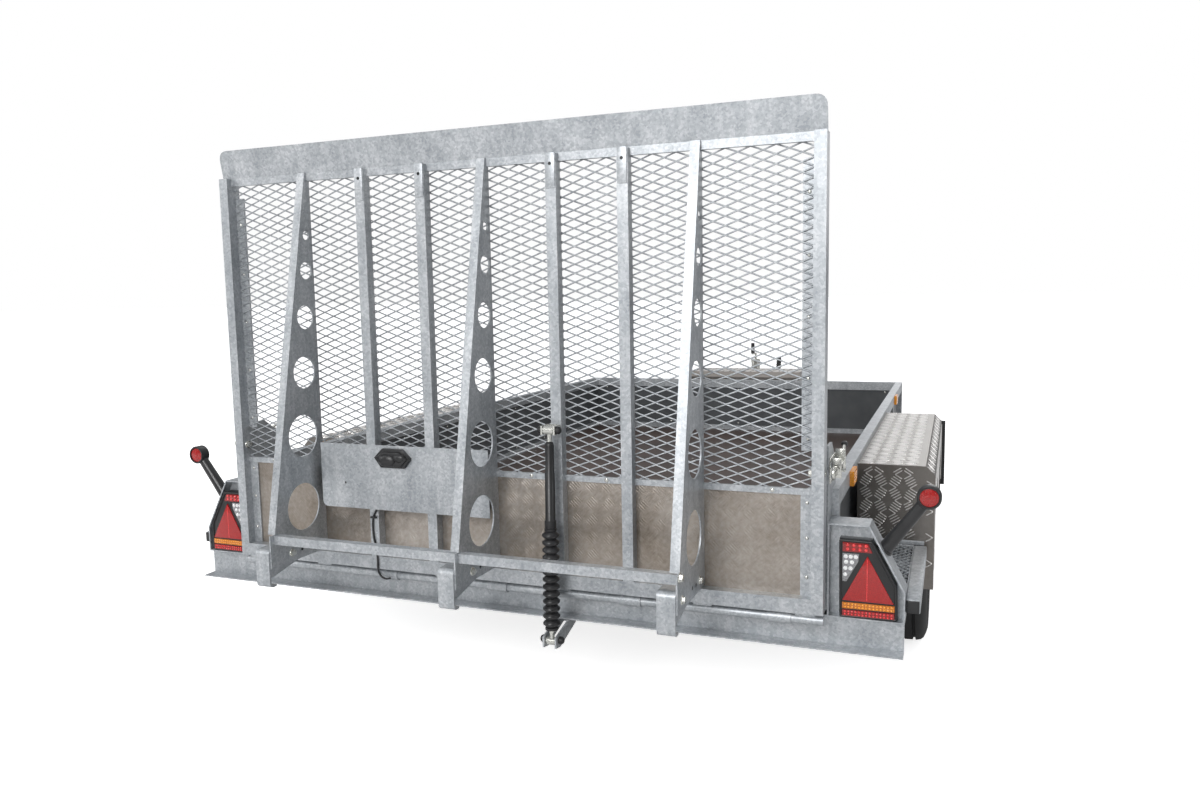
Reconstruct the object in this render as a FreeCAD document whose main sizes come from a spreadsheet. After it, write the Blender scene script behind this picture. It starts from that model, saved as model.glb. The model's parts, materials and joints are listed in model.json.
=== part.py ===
"""Equipment trailer: a twin-axle plant trailer with a full-width mesh loading ramp.

Frame: origin on the ground under the middle, +X to the right, +Y towards the coupling,
+Z up, millimetres. The ramp is stowed upright at the rear, the jockey wheel is down.
"""
import FreeCAD, Part
import math
import os
import re
import Sketcher
from FreeCAD import Placement, Rotation, Vector

# ---------------------------------------------------------------- driving dimensions
SIZES = {
    # load bed
    "bed_half_width": 895, "bed_rear": -2176, "bed_front": 850,
    "floor_top": 358, "floor_thickness": 15, "wall_height": 298,
    "rail_width": 35, "rail_height": 46, "foot_rail_height": 26, "wall_sheet": 4,
    "wall_post": 30, "ear_sheet": 6,
    # chassis
    "chassis_inset": 120, "chassis_width": 50, "chassis_height": 80,
    "cross_width": 40, "cross_height": 50,
    "beam_overhang": 204, "beam_sheet": 4, "beam_lip": 45,
    # ramp hinge
    "hinge_back": 50, "hinge_rise": 0, "hinge_rod_radius": 12, "hinge_sleeve_radius": 15.5,
    "hinge_play": 0.05, "hinge_sleeve_length": 60,
    # ramp
    "ramp_overhang": 15, "ramp_back": 74, "ramp_base": 362, "ramp_height": 1176,
    "post_width": 30, "post_depth": 50, "rib_width": 30, "rib_depth": 30,
    "rib_spacing": 200, "ramp_rail_height": 39, "mid_rail_base": 660, "mid_rail_height": 16,
    "ramp_sheet_thickness": 4, "mesh_thickness": 3, "lip_height": 83, "lip_lean": 15,
    "lip_thickness": 3,
    # ramp fins and feet
    "fin_spacing": 600, "fin_notch": 0.3, "fin_plate": 4, "fin_flange": 25, "fin_reach": 200,
    "crossbar_size": 25, "crossbar_base": 473,
    "foot_width": 47, "foot_sheet": 6, "foot_base": 350, "foot_height": 110,
    # number plate
    "holder_left": -580, "holder_right": -10, "holder_base": 544, "holder_height": 194,
    "holder_sheet": 3, "holder_hole_radius": 3.5,
    "plate_lamp_left": -382, "plate_lamp_width": 123, "plate_lamp_depth": 30,
    "cable_radius": 3,
    # lifting strut
    "strut_side": 193, "strut_top_back": 104, "strut_top_height": 807,
    "strut_foot_back": 120, "strut_foot_height": 228, "strut_width": 30,
    "strut_barrel_radius": 14, "strut_barrel_length": 266.5, "strut_neck": 28, "strut_rod_radius": 7,
    "strut_eye_radius": 11, "strut_stroke": 216, "strut_play": 0.3,
    "bellows_radius": 24.5, "bellows_length": 280, "bracket_sheet": 5,
    # rear lamps
    "box_gap": 18, "box_width": 187, "box_top": 585, "box_back": 2195, "box_depth": 80,
    "lamp_depth": 34, "box_rim": 4, "box_recess": 30, "marker_radius": 29, "marker_depth": 36,
    "marker_overhang": 50, "marker_height": 660,
    # steps, mudguards
    "step_width": 150, "step_top": 400, "step_sheet": 15, "step_tube": 35, "step_front": -1650,
    "guard_rear": -1630, "guard_front": -370, "guard_top": 638, "guard_width": 225,
    "guard_chamfer": 28, "guard_sheet": 3, "guard_skirt_low": 261, "guard_middle_low": 400,
    "guard_arch_gap": 22, "flap_thickness": 5, "flap_height": 275,
    # running gear
    "wheel_radius": 262.5, "tyre_width": 195, "wheel_offset": 110, "rear_wheel": -1320,
    "wheel_pitch": 640, "rim_radius": 165, "rim_width": 152, "rim_wall": 10, "rim_flange": 12,
    "drum_radius": 115, "drum_width": 60, "hub_radius": 40, "stub_radius": 17,
    "stub_play": 0.05, "disc_offset": 15, "disc_sheet": 8, "axle_tube": 60, "axle_lead": 140,
    "arm_thickness": 28, "arm_half_height": 25, "backplate": 8,
    # drawbar
    "drawbar_root": 600, "drawbar_width": 70, "drawbar_nose": 2050, "drawbar_nose_half": 60,
    "drawbar_gap": 4, "housing_half_width": 45, "housing_rear": 1900, "housing_front": 2200,
    "housing_height": 80, "shaft_radius": 25, "head_rear": 2306, "head_front": 2476,
    "head_half_width": 40, "head_height": 90, "ball_radius": 25.4,
    # toolbox
    "toolbox_half_width": 345, "toolbox_rear": 960, "toolbox_depth": 330,
    "toolbox_height": 297, "toolbox_sheet": 3, "lid_height": 55, "lid_chamfer": 30,
    "lid_gap": 0.3, "lid_pin_radius": 3, "lid_barrel_radius": 6, "lid_barrel_length": 40,
    "lid_barrel_side": 200, "lid_pin_back": 7,
    # jockey wheel
    "jockey_side": -135, "jockey_y": 2025, "jockey_tube_radius": 30, "jockey_leg_radius": 24,
    "jockey_play": 0.3, "jockey_tube_base": 268, "jockey_tube_top": 700,
    "jockey_leg_top": 480, "jockey_leg_base": 215, "jockey_wheel_radius": 100,
    "jockey_wheel_width": 46, "jockey_trail": 55, "jockey_axle_radius": 6, "fork_sheet": 6,
    "fork_gap": 4,
}

# Places worked out from the sizes; each is an expression of sheet values.
PLACES = {
    "floor_base": "floor_top - floor_thickness",
    "wall_top": "floor_top + wall_height",
    "side_outer": "bed_half_width + rail_width",
    "chassis_inner": "bed_half_width - chassis_inset",
    "beam_half_width": "bed_half_width + beam_overhang",
    "ramp_half_width": "bed_half_width + ramp_overhang",
    "box_inner": "bed_half_width + box_gap",
    "box_outer": "box_inner + box_width",
    "marker_side": "box_outer + marker_overhang",
    "guard_outer": "side_outer + guard_width",
    "wheel_side": "side_outer + wheel_offset",
    "chassis_outer": "chassis_inner + chassis_width",
    "chassis_base": "floor_base - chassis_height",
    "beam_front": "bed_rear",
    "beam_back": "bed_rear - beam_sheet",
    "front_outer": "bed_front + rail_width",
    "hinge_y": "beam_back - hinge_back",
    "hinge_z": "floor_base + hinge_rise",
    "ramp_rear": "bed_rear - ramp_back",
    "rib_front": "ramp_rear + rib_depth",
    "ramp_top": "ramp_base + ramp_height",
    "strut_top_y": "bed_rear - strut_top_back",
    "strut_foot_y": "bed_rear - strut_foot_back",
    "fin_rear": "rib_front - fin_reach - rib_depth",
    "box_rear": "-box_back",
    "box_front": "box_depth - box_back",
    "front_wheel": "rear_wheel + wheel_pitch",
    "rim_inner": "wheel_side - rim_width / 2",
    "rim_outer": "wheel_side + rim_width / 2",
    "tyre_inner": "wheel_side - tyre_width / 2",
    "tyre_outer": "wheel_side + tyre_width / 2",
    "arm_inner": "side_outer - 25",
    "arm_outer": "arm_inner + arm_thickness",
    "drum_inner": "arm_outer + backplate + 2",
    "disc_inner": "wheel_side + disc_offset",
    "disc_outer": "disc_inner + disc_sheet",
    "toolbox_front": "toolbox_rear + toolbox_depth",
    "toolbox_top": "floor_base + toolbox_height",
    "shaft_z": "floor_base + housing_height / 2",
}

doc = FreeCAD.newDocument("equipment_trailer")
sheet = doc.addObject("Spreadsheet::Sheet", "Sizes")
for row, (alias, size) in enumerate(SIZES.items(), start=1):
    sheet.set(f"A{row}", alias)
    sheet.set(f"B{row}", str(size))
    sheet.setAlias(f"B{row}", alias)
doc.recompute()

nodes = []


# ---------------------------------------------------------------- helpers
def sized(text):
    """Turn names of sizes and places into an expression on the sheet."""
    def expand(match):
        name = match[0]
        if name in PLACES:
            return "(" + sized(PLACES[name]) + ")"
        return "Sizes." + name if name in SIZES else name
    return re.sub(r"[a-z_]+", expand, str(text))


def value(text):
    return float(sheet.evalExpression(sized(text)))


def bind(item, prop, text):
    item.setExpression(prop, sized(text))


def put(item, x="0", y="0", z="0"):
    for axis, text in zip("xyz", (x, y, z)):
        bind(item, f"Placement.Base.{axis}", text)
    return item


def block(name, x, y, z):
    """A box between the low and high expressions on each axis."""
    box = doc.addObject("Part::Box", name)
    for side, (low, high) in zip(("Length", "Width", "Height"), (x, y, z)):
        bind(box, side, f"({high}) - ({low})")
    return put(box, x[0], y[0], z[0])


TURNS = {"x": Rotation(Vector(0, 1, 0), 90), "y": Rotation(Vector(1, 0, 0), -90), "z": Rotation()}


def rod(name, axis, radius, low, high, place):
    """A cylinder along an axis; place holds the other two coordinates in order."""
    item = doc.addObject("Part::Cylinder", name)
    item.Placement = Placement(Vector(), TURNS[axis])
    bind(item, "Radius", radius)
    bind(item, "Height", f"({high}) - ({low})")
    base = list(place)
    base.insert("xyz".index(axis), low)
    return put(item, *base)


def sketch_on(body, plane, outline, holes=()):
    """A closed outline of (across, up) expressions, with round holes (across, up, radius)."""
    sketch = body.newObject("Sketcher::SketchObject", body.Name + "_sketch")
    support = [part for part in body.Origin.OriginFeatures if part.Role == plane + "_Plane"][0]
    sketch.AttachmentSupport = [(support, "")]
    sketch.MapMode = "FlatFace"
    points = [Vector(value(across), value(up), 0) for across, up in outline]
    count = len(points)
    for here in range(count):
        sketch.addGeometry(Part.LineSegment(points[here], points[(here + 1) % count]))
    for here in range(count):
        sketch.addConstraint(Sketcher.Constraint("Coincident", here, 2, (here + 1) % count, 1))
    for here, (across, up) in enumerate(outline):
        pin_point(sketch, here, 1, across, up)
    for across, up, radius in holes:
        centre = Vector(value(across), value(up), 0)
        ring = sketch.addGeometry(Part.Circle(centre, Vector(0, 0, 1), value(radius)))
        pin_point(sketch, ring, 3, across, up)
        link = sketch.addConstraint(Sketcher.Constraint("Radius", ring, value(radius)))
        bind(sketch, f"Constraints[{link}]", radius)
    return sketch


def pin_point(sketch, shape, end, across, up):
    for kind, text in (("DistanceX", across), ("DistanceY", up)):
        link = sketch.addConstraint(Sketcher.Constraint(kind, -1, 1, shape, end, value(text)))
        bind(sketch, f"Constraints[{link}]", text)


def plate(name, plane, outline, low, high, holes=()):
    """An outline on a plane, padded along the plane's normal from low to high."""
    body = doc.addObject("PartDesign::Body", name)
    pad = body.newObject("PartDesign::Pad", name + "_pad")
    pad.Profile = sketch_on(body, plane, outline, holes)
    pad.Reversed = plane == "XZ"
    bind(pad, "Length", f"({high}) - ({low})")
    bind(body, "Placement.Base." + {"XY": "z", "XZ": "y", "YZ": "x"}[plane], low)
    return body


def turned(name, outline, y, z):
    """A ring about a line along X: outline of (x, radius), turned about the line."""
    body = doc.addObject("PartDesign::Body", name)
    turn = body.newObject("PartDesign::Revolution", name + "_turn")
    sketch = sketch_on(body, "XZ", outline)
    turn.Profile = sketch
    turn.ReferenceAxis = (sketch, ["H_Axis"])
    turn.Angle = 360
    return put(body, "0", y, z)


def mirrored(item):
    copy = doc.addObject("Part::Mirroring", item.Name + "_mirror")
    copy.Source = item
    copy.Normal = Vector(1, 0, 0)
    return copy


def pair(item):
    return [item, mirrored(item)]


def joined(name, items):
    fuse = doc.addObject("Part::MultiFuse", name)
    fuse.Shapes = items
    return fuse


def cut(name, base, tool):
    item = doc.addObject("Part::Cut", name)
    item.Base = base
    item.Tool = tool
    return item


def grouped(name, items):
    group = doc.addObject("Part::Compound", name)
    group.Links = items
    return group


def keep(item, label):
    item.Label = label
    nodes.append(item)
    return item


# ---------------------------------------------------------------- chassis
def chassis():
    rail = block("rail", ("chassis_inner", "chassis_outer"), ("bed_rear", "bed_front"),
                 ("chassis_base", "floor_base"))
    keep(grouped("rails", pair(rail)), "chassis_rails")
    level = ("floor_base - cross_height", "floor_base")
    members = []
    stations = ("bed_rear", "rear_wheel - 500", "rear_wheel + 20", "front_wheel + 20",
                "front_wheel + 550", "front_wheel + 1050")
    for number, station in enumerate(stations):
        depth = (station, f"{station} + cross_width")
        members.append(block(f"cross_{number}", ("-chassis_inner", "chassis_inner"), depth, level))
        members += pair(block(f"outrigger_{number}", ("chassis_outer", "side_outer"), depth, level))
    members.append(block("front_beam", ("-side_outer", "side_outer"),
                         ("bed_front", "bed_front + chassis_width"), ("chassis_base", "floor_base")))
    keep(grouped("members", members), "cross_members")
    keep(block("floor", ("-bed_half_width", "bed_half_width"), ("bed_rear", "bed_front"),
               ("floor_base", "floor_top")), "bed_floor")


SLEEVE_SIDES = ("-800", "-365", "0", "400", "800")
RAMP_KNUCKLE_SIDES = ("-865", "-600", "-180", "200", "600", "865")


def rear_beam():
    """Web and rearward lip across the tail, carrying the fixed sleeves of the ramp hinge."""
    width = ("-beam_half_width", "beam_half_width")
    pieces = [
        block("beam_web", width, ("beam_back", "beam_front"), ("chassis_base + 2", "floor_base")),
        block("beam_lip", width, ("beam_back - beam_lip", "beam_front"),
              ("chassis_base + 2", "chassis_base + 2 + beam_sheet")),
    ]
    for number, side in enumerate(SLEEVE_SIDES):
        low = f"{side} - hinge_sleeve_length / 2"
        high = f"{side} + hinge_sleeve_length / 2"
        pieces.append(rod(f"sleeve_{number}", "x", "hinge_sleeve_radius", low, high,
                          ("hinge_y", "hinge_z")))
        pieces.append(block(f"sleeve_arm_{number}", (low, high), ("hinge_y", "beam_front"),
                            ("hinge_z - hinge_sleeve_radius", "hinge_z - hinge_sleeve_radius + 7")))
    bore = rod("hinge_bore", "x", "hinge_rod_radius + hinge_play", "-beam_half_width",
               "beam_half_width", ("hinge_y", "hinge_z"))
    keep(cut("beam", joined("beam_solid", pieces), bore), "rear_beam")


def strut_bracket():
    """Two cheeks under the rear beam; the strut's lower eye hangs between them."""
    base = "chassis_base + 2"
    outline = [("beam_front", base), ("beam_back - beam_lip", base),
               ("strut_foot_y - 18", "strut_foot_height + 16"),
               ("strut_foot_y - 18", "strut_foot_height - 14"),
               ("strut_foot_y + 10", "strut_foot_height - 18"), ("beam_front", f"{base} - 22")]
    inner = "(strut_width / 2 + 0.5)"
    pieces = [
        plate("cheek_right", "YZ", outline, f"strut_side + {inner}",
              f"strut_side + {inner} + bracket_sheet"),
        plate("cheek_left", "YZ", outline, f"strut_side - {inner} - bracket_sheet",
              f"strut_side - {inner}"),
        block("bracket_web", (f"strut_side - {inner}", f"strut_side + {inner}"),
              ("beam_front - bracket_sheet", "beam_front"), (f"{base} - 22", base)),
    ]
    keep(joined("bracket", pieces), "strut_bracket")


# ---------------------------------------------------------------- walls
def walls():
    start = "box_front + 5"
    rail = block("side_rail", ("bed_half_width", "side_outer"), (start, "bed_front"),
                 ("wall_top - rail_height", "wall_top"))
    foot = block("side_foot", ("bed_half_width", "side_outer"), (start, "bed_front"),
                 ("floor_base", "floor_top + foot_rail_height"))
    sheet_level = ("floor_top + foot_rail_height", "wall_top - rail_height")
    panel = block("side_panel", ("bed_half_width + 8", "bed_half_width + 8 + wall_sheet"),
                  (start, "bed_front"), sheet_level)
    pieces = [rail, foot]
    for number in range(5):
        place = f"({start}) + (bed_front - ({start}) - wall_post) * {number} / 4"
        pieces.append(block(f"side_post_{number}", ("bed_half_width + 12", "side_outer"),
                            (place, f"{place} + wall_post"), ("floor_base", "wall_top - 5")))
    right = joined("side_wall", pieces)
    keep(right, "side_wall_right")
    keep(mirrored(right), "side_wall_left")

    width = ("-side_outer", "side_outer")
    deep = ("bed_front", "front_outer")
    front = [
        block("front_rail", width, deep, ("wall_top - rail_height", "wall_top")),
        block("front_foot", width, deep, ("floor_base", "floor_top + foot_rail_height")),
    ]
    front_panel = block("front_panel", width, ("bed_front + 8", "bed_front + 8 + wall_sheet"),
                        sheet_level)
    keep(grouped("panels", [*pair(panel), front_panel]), "wall_panels")
    for side in ("-side_outer", "-wall_post / 2", "side_outer - wall_post"):
        front.append(block("front_post", (side, f"{side} + wall_post"),
                           ("bed_front + 12", "front_outer"), ("floor_base", "wall_top - 5")))
    keep(joined("front", front), "front_wall")


def latch_posts():
    """Corner ears beside the ramp, each with a spring latch on its outer face."""
    inner = "bed_half_width"
    outer = "box_inner - 0.5"
    post = block("ear_post", (inner, outer), ("beam_back - 5", "box_front + 5"),
                 ("floor_top", "wall_top"))
    ear = plate("ear_plate", "YZ", [("beam_back - 5", "wall_top"), ("beam_back - 5", "wall_top + 123"),
                                    ("beam_back + 60", "wall_top + 123"),
                                    ("beam_back + 145", "wall_top + 60"),
                                    ("beam_back + 145", "wall_top")], f"{outer} - ear_sheet", outer)
    latch = block("latch_plate", (outer, f"{outer} + 6"), ("beam_back + 5", "beam_back + 95"),
                  ("wall_top + 40", "wall_top + 80"))
    barrel = rod("latch_barrel", "y", "9", "beam_back + 15", "beam_back + 85",
                 (f"{outer} + 13", "wall_top + 60"))
    ear_set = joined("ear", [post, ear, latch, barrel])
    keep(grouped("ears", pair(ear_set)), "latch_posts")


# ---------------------------------------------------------------- lamps
def lamps():
    base = "floor_base"
    outline = [("box_inner", base), ("box_outer", base), ("box_outer", f"{base} + 80"),
               ("box_outer - 86", "box_top"), ("box_inner", "box_top")]
    box = plate("lamp_box", "XZ", outline, "box_rear", "box_front")
    rim = "box_rim"
    inside = [(f"box_inner + {rim}", f"{base} + {rim}"), (f"box_outer - {rim}", f"{base} + {rim}"),
              (f"box_outer - {rim}", f"{base} + 80 - {rim} * 0.3"),
              (f"box_outer - 86 - {rim} * 0.6", f"box_top - {rim}"),
              (f"box_inner + {rim}", f"box_top - {rim}")]
    recess = plate("lamp_recess", "XZ", inside, "box_rear - 5", "box_rear + box_recess")
    keep(grouped("boxes", pair(cut("lamp_case", box, recess))), "light_boxes")

    lamp_outline = [("box_inner + 31", f"{base} + 5"), ("box_outer - 18", f"{base} + 7"),
                    ("box_outer - 20", f"{base} + 94"), ("box_outer - 80", "box_top - 37"),
                    ("box_inner + 29", "box_top - 36")]
    lamp = plate("tail_lamp", "XZ", lamp_outline, "box_rear + box_recess - lamp_depth",
                 "box_rear + box_recess")
    keep(grouped("tail", pair(lamp)), "tail_lamps")

    slope = "(box_top - floor_base - 80) / 86"
    stalk_outline = [("box_outer - 58", f"box_top - 28 * {slope} + 0.3"),
                     ("box_outer - 48", f"box_top - 38 * {slope} + 0.3"),
                     ("marker_side + 12", "marker_height - 14"),
                     ("marker_side - 12", "marker_height + 6")]
    stalk = plate("marker_stalk", "XZ", stalk_outline, "box_rear + 22", "box_rear + 46")
    head = rod("marker_head", "y", "marker_radius", "box_rear + 16", "box_rear + 16 + marker_depth",
               ("marker_side", "marker_height"))
    keep(grouped("markers", pair(joined("marker", [stalk, head]))), "marker_lamps")

    side_lamps = []
    for number, place in enumerate(("bed_rear + 321", "bed_rear + 2331")):
        side_lamps += pair(block(f"side_lamp_{number}", ("side_outer", "side_outer + 12"),
                                 (place, f"{place} + 90"), ("wall_top - 44", "wall_top - 2")))
    keep(grouped("side_lamps", side_lamps), "side_markers")


# ---------------------------------------------------------------- steps and mudguards
def steps():
    inner = "side_outer + 20"
    plank = block("step_plank", (inner, f"{inner} + step_width"), ("box_front", "step_front"),
                  ("step_top - step_sheet", "step_top"))
    tube = block("step_tube", (f"{inner} + step_width", f"{inner} + step_width + step_tube"),
                 ("box_rear + 25", "step_front"), ("step_top - step_tube", "step_top"))
    pieces = [plank, tube]
    for number, place in enumerate(("box_front + 60", "step_front - 110")):
        pieces.append(block(f"step_arm_{number}", ("side_outer", f"{inner} + step_width"),
                            (place, f"{place} + 40"), ("floor_base + 2", "step_top - step_sheet")))
    keep(grouped("steps", pair(joined("step", pieces))), "side_steps")


def guard_outline(inset, low):
    """Cross-section of a mudguard, inset by the sheet for its hollow side."""
    side = f"guard_outer - {inset}"
    top = f"guard_top - {inset}"
    slope = f"guard_chamfer - {inset} * 0.4"
    return [("side_outer", low), ("side_outer", top), (f"{side} - ({slope})", top),
            (side, f"{top} - ({slope})"), (side, low)]


def mudguards():
    shell = plate("guard_shell", "XZ", guard_outline("0", "guard_skirt_low"),
                  "guard_rear", "guard_front")
    hollow = plate("guard_hollow", "XZ", guard_outline("guard_sheet", "guard_skirt_low - 10"),
                   "guard_rear + guard_sheet", "guard_front - guard_sheet")
    across = ("guard_outer - guard_sheet - 2", "guard_outer + 2")
    arches = [rod(f"guard_arch_{name}", "x", "wheel_radius + guard_arch_gap", across[0], across[1],
                  (name, "wheel_radius")) for name in ("rear_wheel", "front_wheel")]
    middle = block("guard_middle", across, ("rear_wheel", "front_wheel"),
                   ("guard_skirt_low - 5", "guard_middle_low"))
    below = block("guard_below", ("side_outer - 2", "guard_outer - guard_chamfer"),
                  ("guard_rear - 2", "guard_rear + guard_sheet + 2"),
                  ("guard_skirt_low - 5", "guard_middle_low + 8"))
    guard = cut("guard", shell, joined("guard_tools", [hollow, *arches, middle, below]))
    keep(guard, "mudguard_right")
    keep(mirrored(guard), "mudguard_left")
    flap = block("flap", ("side_outer + 10", "guard_outer + 15"),
                 ("guard_front", "guard_front + flap_thickness"),
                 ("guard_top - 28 - flap_height", "guard_top - 28"))
    keep(grouped("flaps", pair(flap)), "mudflaps")


# ---------------------------------------------------------------- running gear
def axle(name, wheel_y):
    """Square torsion tube under the chassis with trailing arms, back plates and stubs."""
    tube_y = f"{wheel_y} + axle_lead"
    level = "chassis_base - axle_tube / 2"
    tube = block(f"{name}_tube", ("-arm_inner", "arm_inner"),
                 (f"{tube_y} - axle_tube / 2", f"{tube_y} + axle_tube / 2"),
                 ("chassis_base - axle_tube", "chassis_base"))
    outline = [(f"{tube_y} + 28", f"{level} + arm_half_height"),
               (f"{wheel_y} - 25", "wheel_radius + arm_half_height"),
               (f"{wheel_y} - 25", "wheel_radius - arm_half_height"),
               (f"{tube_y} + 28", f"{level} - arm_half_height")]
    arm = plate(f"{name}_arm", "YZ", outline, "arm_inner", "arm_outer")
    back = rod(f"{name}_back", "x", "drum_radius", "arm_outer", "arm_outer + backplate",
               (wheel_y, "wheel_radius"))
    stub = rod(f"{name}_stub", "x", "stub_radius", "arm_outer", "wheel_side - 30",
               (wheel_y, "wheel_radius"))
    keep(joined(f"{name}_set", [tube, *pair(joined(f"{name}_side", [arm, back, stub]))]), name)


def wheel(name, wheel_y, left):
    bore = "stub_radius + stub_play"
    edge = "rim_radius + rim_flange"
    inside = "rim_radius - rim_wall"
    rim_outline = [
        ("drum_inner", bore), ("drum_inner", "drum_radius"),
        ("drum_inner + drum_width", "drum_radius"), ("drum_inner + drum_width", "hub_radius"),
        ("disc_inner", "hub_radius"), ("disc_inner", inside), ("rim_inner", inside),
        ("rim_inner", edge), ("rim_inner + 6", edge), ("rim_inner + 6", "rim_radius"),
        ("rim_outer - 6", "rim_radius"), ("rim_outer - 6", edge), ("rim_outer", edge),
        ("rim_outer", inside), ("disc_outer", inside), ("disc_outer", "hub_radius - 8"),
        ("disc_outer + 26", "hub_radius - 10"), ("disc_outer + 26", "0"),
        ("wheel_side - 25", "0"), ("wheel_side - 25", bore),
    ]
    bead = "rim_radius + 0.3"
    tyre_outline = [
        ("rim_inner + 6", bead), ("rim_inner + 6", "rim_radius + 15"),
        ("tyre_inner + 3", "rim_radius + 38"), ("tyre_inner", "rim_radius + 56"),
        ("tyre_inner + 5", "wheel_radius - 15"), ("tyre_inner + 20", "wheel_radius"),
        ("tyre_outer - 20", "wheel_radius"), ("tyre_outer - 5", "wheel_radius - 15"),
        ("tyre_outer", "rim_radius + 56"), ("tyre_outer - 3", "rim_radius + 38"),
        ("rim_outer - 6", "rim_radius + 15"), ("rim_outer - 6", bead),
    ]
    for kind, outline in (("rim", rim_outline), ("tyre", tyre_outline)):
        item = turned(f"{kind}_{name}_solid", outline, wheel_y, "wheel_radius")
        keep(mirrored(item) if left else item, f"{kind}_{name}")


def running_gear():
    axle("axle_rear", "rear_wheel")
    axle("axle_front", "front_wheel")
    for end in ("rear", "front"):
        wheel(f"{end}_right", f"{end}_wheel", left=False)
        wheel(f"{end}_left", f"{end}_wheel", left=True)


# ---------------------------------------------------------------- drawbar
def drawbar():
    root = "bed_front + chassis_width"
    outline = [("drawbar_root", root), ("drawbar_nose_half", "drawbar_nose - 70"),
               ("drawbar_nose_half", "drawbar_nose"), ("drawbar_gap", "drawbar_nose"),
               ("drawbar_gap", "drawbar_nose - 150"), ("drawbar_root - drawbar_width", root)]
    right = plate("drawbar_arm", "XY", outline, "chassis_base", "floor_base")
    keep(right, "drawbar_right")
    keep(mirrored(right), "drawbar_left")

    housing = block("housing_block", ("-housing_half_width", "housing_half_width"),
                    ("housing_rear", "housing_front"),
                    ("floor_base", "floor_base + housing_height"))
    shaft = rod("overrun_shaft", "y", "shaft_radius", "housing_front", "head_rear", ("0", "shaft_z"))
    keep(joined("housing", [housing, shaft]), "coupling_housing")

    head_block = block("head_block", ("-head_half_width", "head_half_width"),
                       ("head_rear", "head_front"), ("shaft_z - head_height / 2",
                                                     "shaft_z + head_height / 2"))
    ball = rod("ball_bore", "z", "ball_radius", "shaft_z - head_height / 2", "shaft_z + 20",
               ("0", "head_front - 50"))
    handle = block("head_handle", ("-15", "15"), ("head_rear + 10", "head_front - 20"),
                   ("shaft_z + head_height / 2", "shaft_z + head_height / 2 + 25"))
    keep(joined("head", [cut("head_cup", head_block, ball), handle]), "coupling_head")

    lever = plate("lever", "YZ", [("housing_rear + 90", "floor_base + housing_height"),
                                  ("housing_rear + 130", "floor_base + housing_height"),
                                  ("housing_rear + 225", "floor_base + 360"),
                                  ("housing_rear + 200", "floor_base + 368")], "12", "24")
    keep(lever, "handbrake_lever")


# ---------------------------------------------------------------- toolbox
def toolbox():
    wide = ("-toolbox_half_width", "toolbox_half_width")
    shell = block("box_shell", wide, ("toolbox_rear", "toolbox_front"), ("floor_base", "toolbox_top"))
    room = block("box_room", ("toolbox_sheet - toolbox_half_width",
                              "toolbox_half_width - toolbox_sheet"),
                 ("toolbox_rear + toolbox_sheet", "toolbox_front - toolbox_sheet"),
                 ("floor_base + toolbox_sheet", "toolbox_top + 5"))
    line = ("toolbox_rear - lid_pin_back", "toolbox_top")
    neck = ("toolbox_rear - lid_pin_back", "toolbox_rear")
    first = ("lid_barrel_side", "lid_barrel_side + lid_barrel_length")
    second = ("lid_barrel_side + lid_barrel_length + 0.3",
              "lid_barrel_side + 2 * lid_barrel_length")
    fixed = pair(joined("fixed_barrel", [
        rod("fixed_knuckle", "x", "lid_barrel_radius", *first, line),
        rod("lid_pin", "x", "lid_pin_radius", first[0], second[1], line),
        block("fixed_neck", first, neck, ("toolbox_top - 6", "toolbox_top - 2"))]))
    keep(joined("box_hinged", [cut("box_tray", shell, room), *fixed]), "toolbox")

    low = "toolbox_top + lid_gap"
    top = "toolbox_top + lid_height"
    outline = [("toolbox_rear", low), ("toolbox_rear", f"{top} - lid_chamfer"),
               ("toolbox_rear + lid_chamfer", top), ("toolbox_front - lid_chamfer", top),
               ("toolbox_front", f"{top} - lid_chamfer"), ("toolbox_front", low)]
    inside = [("toolbox_rear + toolbox_sheet", f"{low} - 5"),
              ("toolbox_rear + toolbox_sheet", f"{top} - lid_chamfer - toolbox_sheet * 0.4"),
              ("toolbox_rear + lid_chamfer + toolbox_sheet * 0.4", f"{top} - toolbox_sheet"),
              ("toolbox_front - lid_chamfer - toolbox_sheet * 0.4", f"{top} - toolbox_sheet"),
              ("toolbox_front - toolbox_sheet", f"{top} - lid_chamfer - toolbox_sheet * 0.4"),
              ("toolbox_front - toolbox_sheet", f"{low} - 5")]
    skin = plate("lid_skin", "YZ", outline, wide[0], wide[1])
    hollow = plate("lid_hollow", "YZ", inside, f"{wide[0]} + toolbox_sheet",
                   f"{wide[1]} - toolbox_sheet")
    moving = pair(cut("moving_bored", joined("moving_barrel", [
        rod("moving_knuckle", "x", "lid_barrel_radius", *second, line),
        block("moving_neck", second, neck, ("toolbox_top + 2", "toolbox_top + 6"))]),
        rod("lid_bore", "x", "lid_pin_radius + 0.05", first[0], f"{second[1]} + 1", line)))
    keep(joined("lid_hinged", [cut("lid", skin, hollow), *moving]), "toolbox_lid")


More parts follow.
